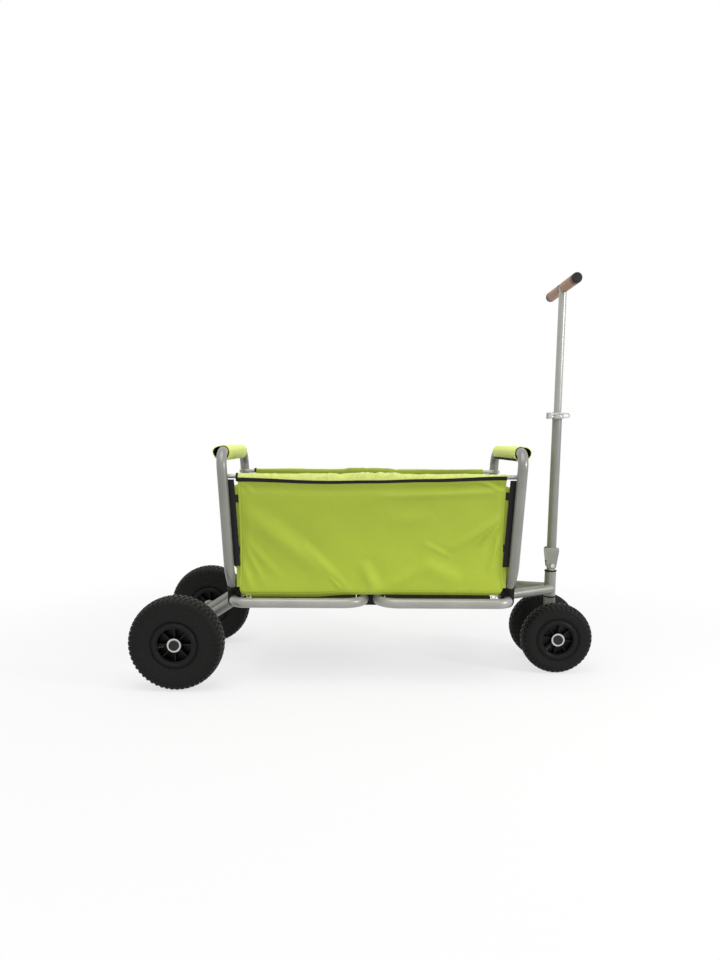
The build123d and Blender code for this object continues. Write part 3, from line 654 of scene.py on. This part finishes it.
class WAGON_OT_tyres(bpy.types.Operator):
    """Makes the four tyres with their tread lugs"""

    bl_idname = "wagon.tyres"
    bl_label = "Tyres"

    def execute(self, context):
        wheels = context.scene.wagon_wheels
        counts = {"rear": wheels.rear_lugs, "front": wheels.front_lugs}
        for end, (bead, seat, flange, edge) in TYRE_SEATS.items():
            count = counts[end]
            rubber = None
            for side in SIDES:
                node = f"{end}_tyre_{side}"
                low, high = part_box(node)
                centre = tuple((low + high) / 2)
                radius = (high.z - low.z) / 2
                half = (high.y - low.y) / 2
                if rubber is None:
                    rubber = rubber_finish(f"{end}_rubber", wheels.rubber, centre,
                                           flange, LUG_START * radius, radius)
                section = tyre_section(radius, half, bead, seat, flange, edge, wheels.lug)
                bm = spun_ring([section], centre, 4 * count)
                raise_lugs(bm, centre, radius, half, wheels.lug, count)
                tyre = piece_from(bm, f"{end}_tread_{side}", rubber, sharp=40)
                soften(tyre, LUG_EDGE)
                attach(tyre, f"{end}_wheel_{side}")
                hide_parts(node)
        return {"FINISHED"}


class WAGON_OT_rim_lips(bpy.types.Operator):
    """Makes the rounded lips on both faces of each rim's flanges"""

    bl_idname = "wagon.rim_lips"
    bl_label = "Rim Lips"

    def execute(self, context):
        black = bpy.data.materials["rim_plastic"]
        turns = [math.pi * i / 10 for i in range(11)]
        for end, (inner, outer, face) in RIM_LIPS.items():
            middle, half = (inner + outer) / 2, (outer - inner) / 2
            lip = [(middle + half * math.cos(t), face + LIP_HEIGHT * math.sin(t)) for t in turns]
            for side in SIDES:
                low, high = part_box(f"{end}_tyre_{side}")
                bm = spun_ring([lip, [(r, -a) for r, a in lip]], tuple((low + high) / 2), 96)
                ring = piece_from(bm, f"{end}_rim_lips_{side}", black, sharp=50)
                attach(ring, f"{end}_wheel_{side}")
        return {"FINISHED"}


class WAGON_OT_valves(bpy.types.Operator):
    """Makes a valve stem in each rim"""

    bl_idname = "wagon.valves"
    bl_label = "Valves"

    def execute(self, context):
        black = bpy.data.materials["black_plastic"]
        for end, (start, across, turn) in VALVES.items():
            angle = math.radians(turn)
            out = Vector((math.cos(angle), 0, math.sin(angle)))
            inwards = (-out).to_track_quat("Z", "Y").to_matrix().to_4x4()
            for side, sign in SIDES.items():
                low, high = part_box(f"{end}_tyre_{side}")
                foot = (low + high) / 2 + out * start + Vector((0, sign * across, 0))
                bm = bmesh.new()
                line = [(r, 0, h) for r, h in VALVE_OUTLINE]
                spin_line(bm, line, (0, 0, 0), (0, 0, 1), 16, closed=False)
                weld(bm)
                bm.transform(Matrix.Translation(foot) @ inwards)
                valve = piece_from(bm, f"{end}_valve_{side}", black, sharp=35)
                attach(valve, f"{end}_wheel_{side}")
        return {"FINISHED"}


# Heights, as (x, z) on the near side, of the tape along the rim and of the bottom hem
RIM_LINE = [(-0.3625, 0.5735), (-0.119, 0.567), (0.004, 0.569), (0.156, 0.573), (0.3705, 0.5800)]
HEM_LINE = [(-0.3625, 0.2475), (-0.16, 0.2480), (-0.06, 0.2545), (0.004, 0.2550), (0.06, 0.2555),
            (0.20, 0.2550), (0.3705, 0.2545)]
# The lower corners' radius, the hem's height, and how high its seam stands
CORNER = 0.022
HEM_HEIGHT = 0.016
HEM_SEAM = 0.011
# How far the cloth stands inside and outside of the rail's middle, and its height over the rail
SLEEVE_IN = 0.0085
SLEEVE_OUT = 0.0135
ROLL_CREST = 0.5902
# Shares of a side's run from its inner hem: the flap's end, the roll's end, and below it the hem's start
FLAP_END, ROLL_END, HEM_START = 0.05, 0.26, 0.86
FLAP_DROP = 0.012
TAPE_TO_ROLL = 0.0042
# Where the roll widens over the rails' middle link, as distances from the basket's middle
LINK_ZONE = (0.058, 0.085)
# The far side's share of the small folds in the roll
FAR_FOLDS = 0.35
# How far the panel bellies out, and how far its ends are drawn in halfway down
BELLY = 0.0045
PINCH = 0.0045
# Folds of the panel: where each starts and ends, x then z, its width and how far it stands out
DRAPE_FOLDS = [
    (-0.335, 0.480, -0.120, 0.315, 0.026, 0.0050), (-0.350, 0.415, -0.255, 0.310, 0.011, 0.0015),
    (-0.350, 0.400, -0.296, 0.290, 0.008, 0.0012), (-0.180, 0.392, -0.062, 0.272, 0.011, 0.0017),
    (-0.020, 0.345, 0.014, 0.268, 0.017, 0.0048), (0.366, 0.476, 0.222, 0.383, 0.013, 0.0058),
    (0.364, 0.458, 0.306, 0.396, 0.008, 0.0044), (0.150, 0.400, 0.222, 0.363, 0.008, 0.0018),
    (0.045, 0.530, 0.365, 0.545, 0.011, 0.0040), (-0.112, 0.304, -0.080, 0.272, 0.005, 0.0014),
    (0.361, 0.550, 0.357, 0.370, 0.004, -0.0018), (0.366, 0.440, 0.330, 0.330, 0.010, 0.0034),
    (0.145, 0.345, 0.245, 0.296, 0.022, 0.0034), (0.044, 0.272, 0.165, 0.345, 0.016, 0.0028),
    (0.300, 0.571, 0.366, 0.545, 0.007, 0.0046), (-0.360, 0.350, -0.330, 0.268, 0.010, 0.0020),
    (0.060, 0.460, 0.170, 0.475, 0.020, 0.0020), (-0.352, 0.566, -0.318, 0.535, 0.008, 0.0018),
]
# Folds across the roll: where, how wide, how high
RIM_FOLDS = [(-0.262, 0.010, 0.0014), (-0.175, 0.012, 0.0016), (-0.112, 0.005, 0.0030),
             (-0.098, 0.006, 0.0034), (-0.084, 0.005, -0.0026), (-0.022, 0.005, 0.0038),
             (-0.008, 0.006, 0.0048), (0.010, 0.005, -0.0034), (0.026, 0.006, 0.0042),
             (0.041, 0.005, -0.0022), (0.064, 0.008, 0.0030), (0.160, 0.012, 0.0014),
             (0.250, 0.010, 0.0014)]
FOLD_SLANT = 0.030


def drape(x, z):
    """How far the cloth stands out of its plane at a point of the side."""
    height = 0.0
    for x0, z0, x1, z1, width, crest in DRAPE_FOLDS:
        run = Vector((x1 - x0, z1 - z0))
        off = Vector((x - x0, z - z0))
        share = off.dot(run) / run.length_squared
        if not -0.1 < share < 1.1:
            continue
        far = (off.x * run.y - off.y * run.x) / run.length / width
        if abs(far) > 4:
            continue
        rise = math.sin(math.pi * (share + 0.1) / 1.2) ** 0.8
        height += crest * rise * (math.exp(-far * far) - 0.5 * math.exp(-((far + 1.5) / 1.1) ** 2))
    slack = noise.noise(Vector((x * 11, z * 14, 3.1))) * 0.0012
    return height + slack + noise.noise(Vector((x * 45, z * 52, 7.7))) * 0.00025


def rim_roll(x, share):
    """Small folds across the cloth that is rolled over the rail."""
    roll = 0.0
    for where, width, crest in RIM_FOLDS:
        roll += crest * hump(x + FOLD_SLANT * (share - 0.5), where, width)
    roll += 0.0024 * noise.noise(Vector((x * 75 + share * 2, share * 3, 1.7)))
    roll += 0.0012 * noise.noise(Vector((x * 190 + share * 4, share * 6, 5.3)))
    return roll * math.sin(math.pi * min(1.0, share * 1.1))


def near_x(x, sign):
    """The X at which the near side has the shape that this side has at x: the far side is mirrored."""
    return x if sign < 0 else 2 * MIDDLE_X - x


def roll_point(x, v, sign, wrinkles, lift):
    """A point of a side's inner flap and of its roll over the rail."""
    shape_x = near_x(x, sign)
    turn_z = along(RIM_LINE, shape_x) + TAPE_TO_ROLL
    link = 1 - step(abs(x - MIDDLE_X), *LINK_ZONE)
    share = max(0.0, (v - FLAP_END) / (ROLL_END - FLAP_END))
    across, up = math.cos(math.pi * (1 - share)), math.sin(math.pi * share)
    square = 1 - 0.36 * link
    fold = rim_roll(shape_x, share) * wrinkles * (1.0 if sign < 0 else FAR_FOLDS)
    reach = SLEEVE_OUT + fold if across > 0 else SLEEVE_IN + 0.0047 * link
    crest = ROLL_CREST + 0.0028 * link + 0.0006 * math.sin(shape_x * 31) - turn_z
    out = RAIL_Y + math.copysign(abs(across) ** square, across) * (reach + lift)
    flap = FLAP_DROP * max(0.0, 1 - v / FLAP_END)
    return Vector((x, sign * out, turn_z + (crest + 0.3 * fold + lift) * up ** square - flap))


def side_point(x, v, sign, wrinkles, lift=0.0):
    """A point of a side panel, from its inner hem over the rail and down to the bottom hem."""
    if v < ROLL_END:
        return roll_point(x, v, sign, wrinkles, lift)
    shape_x = near_x(x, sign)
    turn_z = along(RIM_LINE, shape_x) + TAPE_TO_ROLL
    hem = along(HEM_LINE, shape_x)
    end = PANEL_REACH - abs(x - MIDDLE_X)
    if end < CORNER:
        hem += CORNER - math.sqrt(max(0.0, CORNER ** 2 - (CORNER - end) ** 2))
    share = (v - ROLL_END) / (1 - ROLL_END)
    body = hem + HEM_HEIGHT
    if share < HEM_START:
        z = turn_z + (body - turn_z) * share / HEM_START
    else:
        z = body + (hem - body) * (share - HEM_START) / (1 - HEM_START)
    fall = (turn_z - z) / (turn_z - hem)
    ease = min(1.0, fall / 0.06)
    loose = 0.3 + 0.7 * step(end, 0.0, 0.03)
    hang = BELLY * loose * math.sin(math.pi * min(1.0, fall * 1.02)) ** 1.2
    fold = drape(shape_x, z) * wrinkles * loose * ease * ease
    seam = 0.0012 * hump(z - hem, HEM_SEAM, 0.0016) + 0.0009 * ease * hump(end, 0.0055, 0.0013)
    under = 0.0025 * fall + 0.005 * max(0.0, fall - 0.97) / 0.03
    under += 0.0058 * loose * hump(fall, 0.075, 0.036)
    pinch = PINCH * (1 - step(end, 0.0, 0.045)) * math.sin(math.pi * fall)
    x -= math.copysign(pinch, x - MIDDLE_X)
    return Vector((x, sign * (RAIL_Y + SLEEVE_OUT + lift + hang + fold - seam - under), z))


def half_x(end, share):
    """A panel half's X from just past the middle, share 0, to its end, share 1."""
    over = 0.003 if end == "rear" else 0.0004
    return MIDDLE_X + ENDS[end] * ((PANEL_REACH + over) * (1 - (1 - share) ** 1.35) - over)


def hang_on_rail(piece, end, side):
    """The piece rides on its rail half."""
    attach(piece, f"rail_{end}_{side}")
    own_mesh(piece)


def half_point(u, v, end, sign, wrinkles):
    """A point of a side half; the rear half lies just under the front one where they meet."""
    x = half_x(end, u)
    lift = -0.00015 if end == "rear" and x > MIDDLE_X - 0.004 else 0.0
    return side_point(x, v, sign, wrinkles, lift)


def rim_tape_point(u, v, end, sign):
    """A point of the tape along the rim, which is a little wider towards the ends."""
    x = half_x(end, u)
    tall = 0.0041 + 0.0014 * min(1.0, abs(x - MIDDLE_X) / PANEL_REACH) ** 2
    out = RAIL_Y + SLEEVE_OUT + 0.0014 - 0.0006 * abs(2 * v - 1)
    return Vector((x, sign * out, along(RIM_LINE, near_x(x, sign)) + tall * (1 - 2 * v)))


def wrap_point(u, v, end, sign):
    """A point of the tape that binds the end of the roll."""
    rim = side_point(half_x(end, 1.0), 0.03 + 0.25 * v, sign, 0.0, 0.0006)
    return rim + Vector((ENDS[end] * (0.006 * u - 0.001), 0, 0))


class WAGON_OT_side_panels(bpy.types.Operator):
    """Makes the basket's four side halves and the tape along their rims"""

    bl_idname = "wagon.side_panels"
    bl_label = "Side Panels"

    def execute(self, context):
        cloth = context.scene.wagon_cloth
        # 1.06 and 0.84 are the painted shades of the cloth at its foot and at its rim
        green = cloth_finish("basket_cloth", cloth.cloth, cloth.rim, 1.06, 0.84)
        # Painted highlight: the roll over the rails takes a paler copy of the cloth, standing for the
        # light on its top
        rolled = cloth_finish("rim_cloth_painted_highlight", cloth.rim, shade(cloth.rim, 1.15), crinkle=9.0)
        # Painted shade: the inner flap takes a darker copy of the cloth, standing for the shade inside
        # the basket
        shaded_inside = cloth_finish("shaded_inside_cloth", shade(cloth.cloth, 0.75), cloth.cloth)
        black = tape_finish("binding_tape", cloth.tape)
        rolled_slot, shaded_inside_slot = 1, 2
        for end in ENDS:
            for side, sign in SIDES.items():
                def outward(face):
                    middle = face.calc_center_median()
                    return face.normal.y * (middle.y - sign * (RAIL_Y - 0.001))

                bm = sheet_grid(200, 150, half_point, end, sign, cloth.wrinkles)
                face_out(bm, outward)
                for face in bm.faces:
                    middle = face.calc_center_median()
                    if abs(middle.y) < RAIL_Y - 0.004:
                        face.material_index = shaded_inside_slot
                    elif middle.z > along(RIM_LINE, near_x(middle.x, sign)):
                        face.material_index = rolled_slot
                panel = piece_from(bm, f"side_cloth_{end}_{side}", green, rolled, shaded_inside)
                thicken(panel, cloth.thickness)
                bm = sheet_grid(130, 5, rim_tape_point, end, sign)
                if end == "rear":
                    sheet_grid(4, 40, wrap_point, end, sign, bm=bm)
                face_out(bm, outward)
                tape = piece_from(bm, f"rim_tape_{end}_{side}", black)
                thicken(tape, 0.0012)
                hang_on_rail(panel, end, side)
                hang_on_rail(tape, end, side)
                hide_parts(f"basket_side_{end}_{side}")
        return {"FINISHED"}


# The rings' places, their radius and their wire's radius
CLIP_X = {"rear": -0.338, "front": 0.345}
CLIP_Y, CLIP_Z = 0.2, 0.25
CLIP_RADIUS = 0.0055
CLIP_WIRE = 0.0012


class WAGON_OT_clips(bpy.types.Operator):
    """Makes the wire rings at the lower corners of the sides"""

    bl_idname = "wagon.clips"
    bl_label = "Clips"

    def execute(self, context):
        steel = bpy.data.materials["bright_steel"]
        turns = [2 * math.pi * i / 10 for i in range(10)]
        section = [(CLIP_RADIUS + CLIP_WIRE * math.cos(t), CLIP_WIRE * math.sin(t)) for t in turns]
        for end, x in CLIP_X.items():
            for side, sign in SIDES.items():
                ring = piece_from(spun_ring([section], (x, sign * CLIP_Y, CLIP_Z), 28),
                                  f"clip_{end}_{side}", steel)
                hang_on_rail(ring, end, side)
        return {"FINISHED"}


# Heights of the end cloths' edges, and between which the rear one bends out to the uprights
END_LOW = {-1: 0.262, 1: 0.273}
END_TOP = 0.545
END_BEND = (0.310, 0.352)
# Half the width of the end cloths, and of the front one's foot, and where the front one widens
END_HALF = 0.190
END_FOOT = 0.142
END_WIDENS = (0.271, 0.351)
END_SEAM = 0.012


def end_reach(z, way):
    """How far an end's cloth stands from the wagon's middle; the rear one is drawn in below."""
    if way > 0:
        return upright_reach(z)
    drawn = PANEL_REACH - 0.001 - 0.25 * max(0.0, END_BEND[0] - z)
    return drawn + (upright_reach(z) - drawn) * step(z, *END_BEND)


def end_half(z, way):
    """Half the width of an end's cloth; the front one narrows below, clear of the legs."""
    if way < 0:
        return END_HALF
    foot, full = END_WIDENS
    share = min(1.0, max(0.0, (z - foot) / (full - foot)))
    return END_FOOT + (END_HALF - END_FOOT) * share


def end_point(u, v, way, wrinkles):
    """A point of an end panel between the uprights."""
    z = END_LOW[way] + (END_TOP - END_LOW[way]) * v
    y = (u - 0.5) * 2 * end_half(z, way)
    across = 1 - (2 * u - 1) ** 2
    belly = 0.004 * across * step(z, *END_BEND) * math.sin(math.pi * v)
    folds = noise.noise(Vector((y * 9, z * 6, way * 4.0))) * 0.0035
    folds += noise.noise(Vector((y * 26 + z * 12, z * 20, way * 9.0))) * 0.0012
    tucks = 0.0010 * math.sin(y * 95 + 2 * way) * (1 - v) ** 2
    hem = 0.001 * hump(END_TOP - z, END_SEAM, 0.002)
    out = end_reach(z, way) + belly + (folds * across + tucks) * wrinkles - hem
    return Vector((MIDDLE_X + way * out, y, z))


def end_hem_point(u, v, way, wrinkles):
    """A point of the hem rolled over an end panel's top edge."""
    turn = math.pi * v
    rim = end_point(u, 1.0 - 0.034 * abs(math.cos(turn)), way, wrinkles)
    return rim + Vector((way * 0.0024 * math.cos(turn), 0, 0.0016 * math.sin(turn)))


class WAGON_OT_end_panels(bpy.types.Operator):
    """Makes the cloth of the basket's two ends and the rolled hem on its top edge"""

    bl_idname = "wagon.end_panels"
    bl_label = "End Panels"

    def execute(self, context):
        cloth = context.scene.wagon_cloth
        green = bpy.data.materials["basket_cloth"]
        for end, way in ENDS.items():
            bm = sheet_grid(96, 84, end_point, way, cloth.wrinkles)
            face_out(bm, lambda face: face.normal.x * way)
            panel = piece_from(bm, f"end_cloth_{end}", green)
            thicken(panel, cloth.thickness, 0.0)
            bm = sheet_grid(80, 10, end_hem_point, way, cloth.wrinkles)
            bmesh.ops.recalc_face_normals(bm, faces=bm.faces)
            tape = piece_from(bm, f"end_hem_{end}", green)
            thicken(tape, 0.0010, 0.0)
            for piece in (panel, tape):
                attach(piece, f"{end}_frame")
                if way < 0:
                    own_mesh(piece)
            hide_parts(f"basket_end_{end}")
        return {"FINISHED"}


# Heights of the black strips' edges, their width, and how far the edge is from the upright's middle
STRIP_LOW, STRIP_TOP = 0.336, 0.574
STRIP_WIDTH, STRIP_TAPER = 0.0182, 0.0006
STRIP_GAP = 0.0125
# Heights of the gussets' edges, where they step out to the upright, and how far out their feet stand
GUSSET_LOW, GUSSET_TOP = 0.276, 0.553
GUSSET_STEP = (0.334, 0.346)
GUSSET_FOOT = 0.3735
# Heights of the tabs' middles, and how tall a tab is
TABS = {"rear": (0.379, 0.522), "front": (0.388, 0.531)}
TAB_HEIGHT = 0.021
# How far from the wagon's middle plane they lie, and how far they tuck in behind the side panel's end
GUSSET_Y, STRIP_Y, TAB_Y = 0.2015, 0.2040, 0.2068
GUSSET_TUCK, TAB_TUCK = 0.006, 0.007


def strip_place(z):
    """Where the strip's edge by the upright stands, from the wagon's middle."""
    return upright_reach(z) - STRIP_GAP


def strip_width(z):
    """The strip's width, which tapers a little towards the top."""
    return STRIP_WIDTH - STRIP_TAPER * (z - STRIP_LOW) / (STRIP_TOP - STRIP_LOW)


def gusset_point(u, v, way, sign):
    """A point of a gusset, from the upright, u 0, to the side panel."""
    z = GUSSET_LOW + (GUSSET_TOP - GUSSET_LOW) * v
    high = step(z, *GUSSET_STEP)
    start = GUSSET_FOOT + (upright_reach(z) - 0.002 - GUSSET_FOOT) * high
    out = start + (PANEL_REACH - GUSSET_TUCK - start) * u
    y = GUSSET_Y - 0.013 * high * (1 - math.sin(0.5 * math.pi * min(1.0, u * 1.6)))
    y += 0.0004 * noise.noise(Vector((u * 3, z * 40, way * 2.0)))
    return Vector((MIDDLE_X + way * out, sign * y, z))


def strip_point(u, v, way, sign):
    """A point of a strip, whose edge by the upright, u 0, lies further in."""
    z = STRIP_LOW + (STRIP_TOP - STRIP_LOW) * v
    y = STRIP_Y + 0.0045 * u + 0.0008 * math.sin(math.pi * u)
    return Vector((MIDDLE_X + way * (strip_place(z) - strip_width(z) * u), sign * y, z))


def tab_point(u, v, way, sign, middle):
    """A point of a tab that runs from under the strip to the side panel."""
    z = middle + TAB_HEIGHT * (v - 0.5)
    start = strip_place(z) - 0.8 * strip_width(z)
    out = start + (PANEL_REACH - TAB_TUCK - start) * u
    return Vector((MIDDLE_X + way * out, sign * (TAB_Y - 0.0044 * step(u, 0.0, 0.35)), z))


class WAGON_OT_corners(bpy.types.Operator):
    """Makes the corner gussets with their black strips and tabs beside the uprights"""

    bl_idname = "wagon.corners"
    bl_label = "Corners"

    def execute(self, context):
        cloth = context.scene.wagon_cloth
        green = bpy.data.materials["basket_cloth"]
        black = tape_finish("corner_webbing", shade(cloth.tape, 1.9))
        for end, way in ENDS.items():
            for side, sign in SIDES.items():
                bm = sheet_grid(16, 48, gusset_point, way, sign)
                bmesh.ops.recalc_face_normals(bm, faces=bm.faces)
                gusset = piece_from(bm, f"corner_cloth_{end}_{side}", green)
                thicken(gusset, cloth.thickness, 0.0)
                bm = sheet_grid(6, 60, strip_point, way, sign)
                for middle in TABS[end]:
                    sheet_grid(4, 6, tab_point, way, sign, middle, bm=bm)
                bmesh.ops.recalc_face_normals(bm, faces=bm.faces)
                strip = piece_from(bm, f"corner_strip_{end}_{side}", black)
                thicken(strip, 0.0018, 0.0)
                for piece in (gusset, strip):
                    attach(piece, f"{end}_frame")
                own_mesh(gusset)
        return {"FINISHED"}


# The handle sleeve's section: its middle outwards of the bar, half its width, its radius behind the
# bar, its height in front, and how much lower than high it hangs
PAD_OUT = 0.0066
PAD_HALF = 0.0240
PAD_BACK = 0.0174
PAD_FRONT = 0.0161
PAD_DROOP = 1.4
# How far the bar is from the middle of the CAD pad's box
PAD_BAR = 0.008
# Turns round the bar, in degrees, at which each tape starts, how far round it goes, and its lift
TAPE_TURN = {"rear": 300, "front": 215}
TAPE_SWEEP = 22
TAPE_LIFT = 0.0009


def pad_point(u, v, way, bar, half, lift=0.0):
    """A point of a handle sleeve: u runs round the bar, v along it; it hangs open outwards."""
    turn = 2 * math.pi * u
    across, up = math.cos(turn), math.sin(turn)
    y = half * (2 * v - 1)
    out = PAD_OUT + PAD_HALF * across
    if across < 0:
        z = math.sqrt(max(0.0, PAD_BACK ** 2 - out ** 2))
    else:
        z = PAD_FRONT * abs(up)
    if up < 0:
        z = -PAD_DROOP * z
    puff = 0.0007 * abs(noise.noise(Vector((y * 22, turn * 1.3, way * 5.0)))) + lift
    return Vector((bar.x + way * (out + puff * across), y, bar.z + z + puff * up))


def pad_tape_point(u, v, way, bar, half, start):
    """A point of the tape along a sleeve's lower edge, lifted off the sleeve."""
    return pad_point((start + TAPE_SWEEP * u) / 360, v, way, bar, half, TAPE_LIFT)


class WAGON_OT_pads(bpy.types.Operator):
    """Makes the two sewn sleeves on the end frames' top bars"""

    bl_idname = "wagon.pads"
    bl_label = "Handle Pads"

    def execute(self, context):
        cloth = context.scene.wagon_cloth
        green = cloth_finish("pad_cloth", cloth.pad, shade(cloth.pad, 1.05), crinkle=2.5)
        black = bpy.data.materials["binding_tape"]
        for end, way in ENDS.items():
            node = f"{end}_handle_pad"
            low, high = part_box(node)
            bar = (low + high) / 2 - Vector((way * PAD_BAR, 0, 0))
            half = (high.y - low.y) / 2
            bm = sheet_grid(64, 60, pad_point, way, bar, half)
            bmesh.ops.remove_doubles(bm, verts=bm.verts, dist=1e-5)
            face_out(bm, lambda face: face.normal.z * (face.calc_center_median().z - bar.z))
            pad = piece_from(bm, f"handle_sleeve_{end}", green, black)
            thicken(pad, 0.0018, -1.0, 1, 0)
            bm = sheet_grid(8, 60, pad_tape_point, way, bar, half, TAPE_TURN[end])
            face_out(bm, lambda face: -face.normal.z)
            tape = piece_from(bm, f"handle_tape_{end}", black)
            thicken(tape, 0.0008)
            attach(tape, f"{end}_frame")
            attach(pad, f"{end}_frame")
            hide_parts(node)
        return {"FINISHED"}


class WAGON_OT_stage(bpy.types.Operator):
    """Sets up the floor, the even light, the lamps and the camera"""

    bl_idname = "wagon.stage"
    bl_label = "Stage"

    def execute(self, context):
        scene = context.scene
        stage = scene.wagon_stage
        scene.view_settings.view_transform = "Standard"
        self.make_world(scene, stage)
        self.make_floor()
        self.make_lamp("overhead", (-0.3, -0.9, 3.1), (0.0, 0.0, 0.4), 2.6, stage.key)
        self.make_lamp("beside", (2.4, -1.3, 1.4), (0.2, 0.0, 0.5), 0.5, stage.fill)
        data = bpy.data.cameras.new("camera")
        data.sensor_width = 36
        data.lens = stage.lens
        data.shift_x, data.shift_y = stage.shift
        camera = bpy.data.objects.new("camera", data)
        scene.collection.objects.link(camera)
        turn = Matrix.Rotation(-stage.yaw, 4, "Z") @ Matrix.Rotation(math.pi / 2 - stage.pitch, 4, "X")
        camera.matrix_world = (Matrix.Translation(stage.place) @ turn
                               @ Matrix.Rotation(-stage.roll, 4, "Z"))
        scene.camera = camera
        return {"FINISHED"}

    def make_world(self, scene, stage):
        """White to the eye and in reflections, and an even light on the object."""
        world = bpy.data.worlds.new("studio")
        world.use_nodes = True
        world.node_tree.nodes.clear()
        root = Wire(world.node_tree)
        strength = seen_rays(root) * (1 - stage.ambient) + stage.ambient
        light = root.node("Background", None, {"Color": (1, 1, 1, 1), "Strength": strength})
        root.node("OutputWorld", None, {"Surface": light})
        scene.world = world

    def make_floor(self):
        """A pale floor that keeps a soft shadow and fades to white further out."""
        bm = bmesh.new()
        bmesh.ops.create_circle(bm, cap_ends=True, segments=96, radius=9.0)
        material, root = start_finish("pale_floor")
        place = object_place(root)
        x, y, _ = parts_of(root, place)
        far = ((x * x + y * y) ** 0.5).step(0.7, 1.9)
        white = root.node("Emission", None, {"Color": (1, 1, 1, 1), "Strength": 1.0})
        matte = root.node("BsdfDiffuse", None, {"Color": (0.9, 0.9, 0.9, 1)})
        share = seen_rays(root) * (far * 0.3 + 0.7)
        surface = root.node("MixShader", None, {0: share, 1: matte, 2: white})
        root.node("OutputMaterial", None, {"Surface": surface})
        piece_from(bm, "floor", material)

    def make_lamp(self, name, place, target, size, power):
        """A round lamp that faces the target."""
        data = bpy.data.lights.new(name, "AREA")
        data.shape = "DISK"
        data.size = size
        data.energy = power
        lamp = bpy.data.objects.new(name, data)
        bpy.context.scene.collection.objects.link(lamp)
        lamp.location = place
        lamp.rotation_euler = (Vector(target) - Vector(place)).to_track_quat("-Z", "Y").to_euler()


PIECES = (WAGON_OT_finishes, WAGON_OT_tyres, WAGON_OT_rim_lips, WAGON_OT_valves,
          WAGON_OT_side_panels, WAGON_OT_clips, WAGON_OT_end_panels, WAGON_OT_corners,
          WAGON_OT_pads, WAGON_OT_stage)
GROUPS = {"wagon_cloth": WagonCloth, "wagon_wheels": WagonWheels, "wagon_metal": WagonMetal,
          "wagon_stage": WagonStage}


class WAGON_PT_panel(bpy.types.Panel):
    """Lists the wagon's pieces and their sizes"""

    bl_idname = "WAGON_PT_panel"
    bl_label = "Folding Wagon"
    bl_space_type = "VIEW_3D"
    bl_region_type = "UI"
    bl_category = "Wagon"

    def draw(self, context):
        for piece in PIECES:
            self.layout.operator(piece.bl_idname)
        for group in (getattr(context.scene, name) for name in GROUPS):
            for name in group.bl_rna.properties.keys():
                if name not in ("rna_type", "name"):
                    self.layout.prop(group, name)


def register():
    for kind in (*GROUPS.values(), *PIECES, WAGON_PT_panel):
        bpy.utils.register_class(kind)
    for name, kind in GROUPS.items():
        setattr(bpy.types.Scene, name, bpy.props.PointerProperty(type=kind))


def unregister():
    for name in GROUPS:
        delattr(bpy.types.Scene, name)
    for kind in (WAGON_PT_panel, *reversed(PIECES), *GROUPS.values()):
        bpy.utils.unregister_class(kind)


def main():
    register()
    bpy.ops.wagon.stage()
    bpy.ops.wagon.finishes()
    bpy.ops.wagon.tyres()
    bpy.ops.wagon.rim_lips()
    bpy.ops.wagon.valves()
    bpy.ops.wagon.side_panels()
    bpy.ops.wagon.clips()
    bpy.ops.wagon.end_panels()
    bpy.ops.wagon.corners()
    bpy.ops.wagon.pads()
    bpy.context.view_layer.update()


if __name__ == "__main__":
    main()
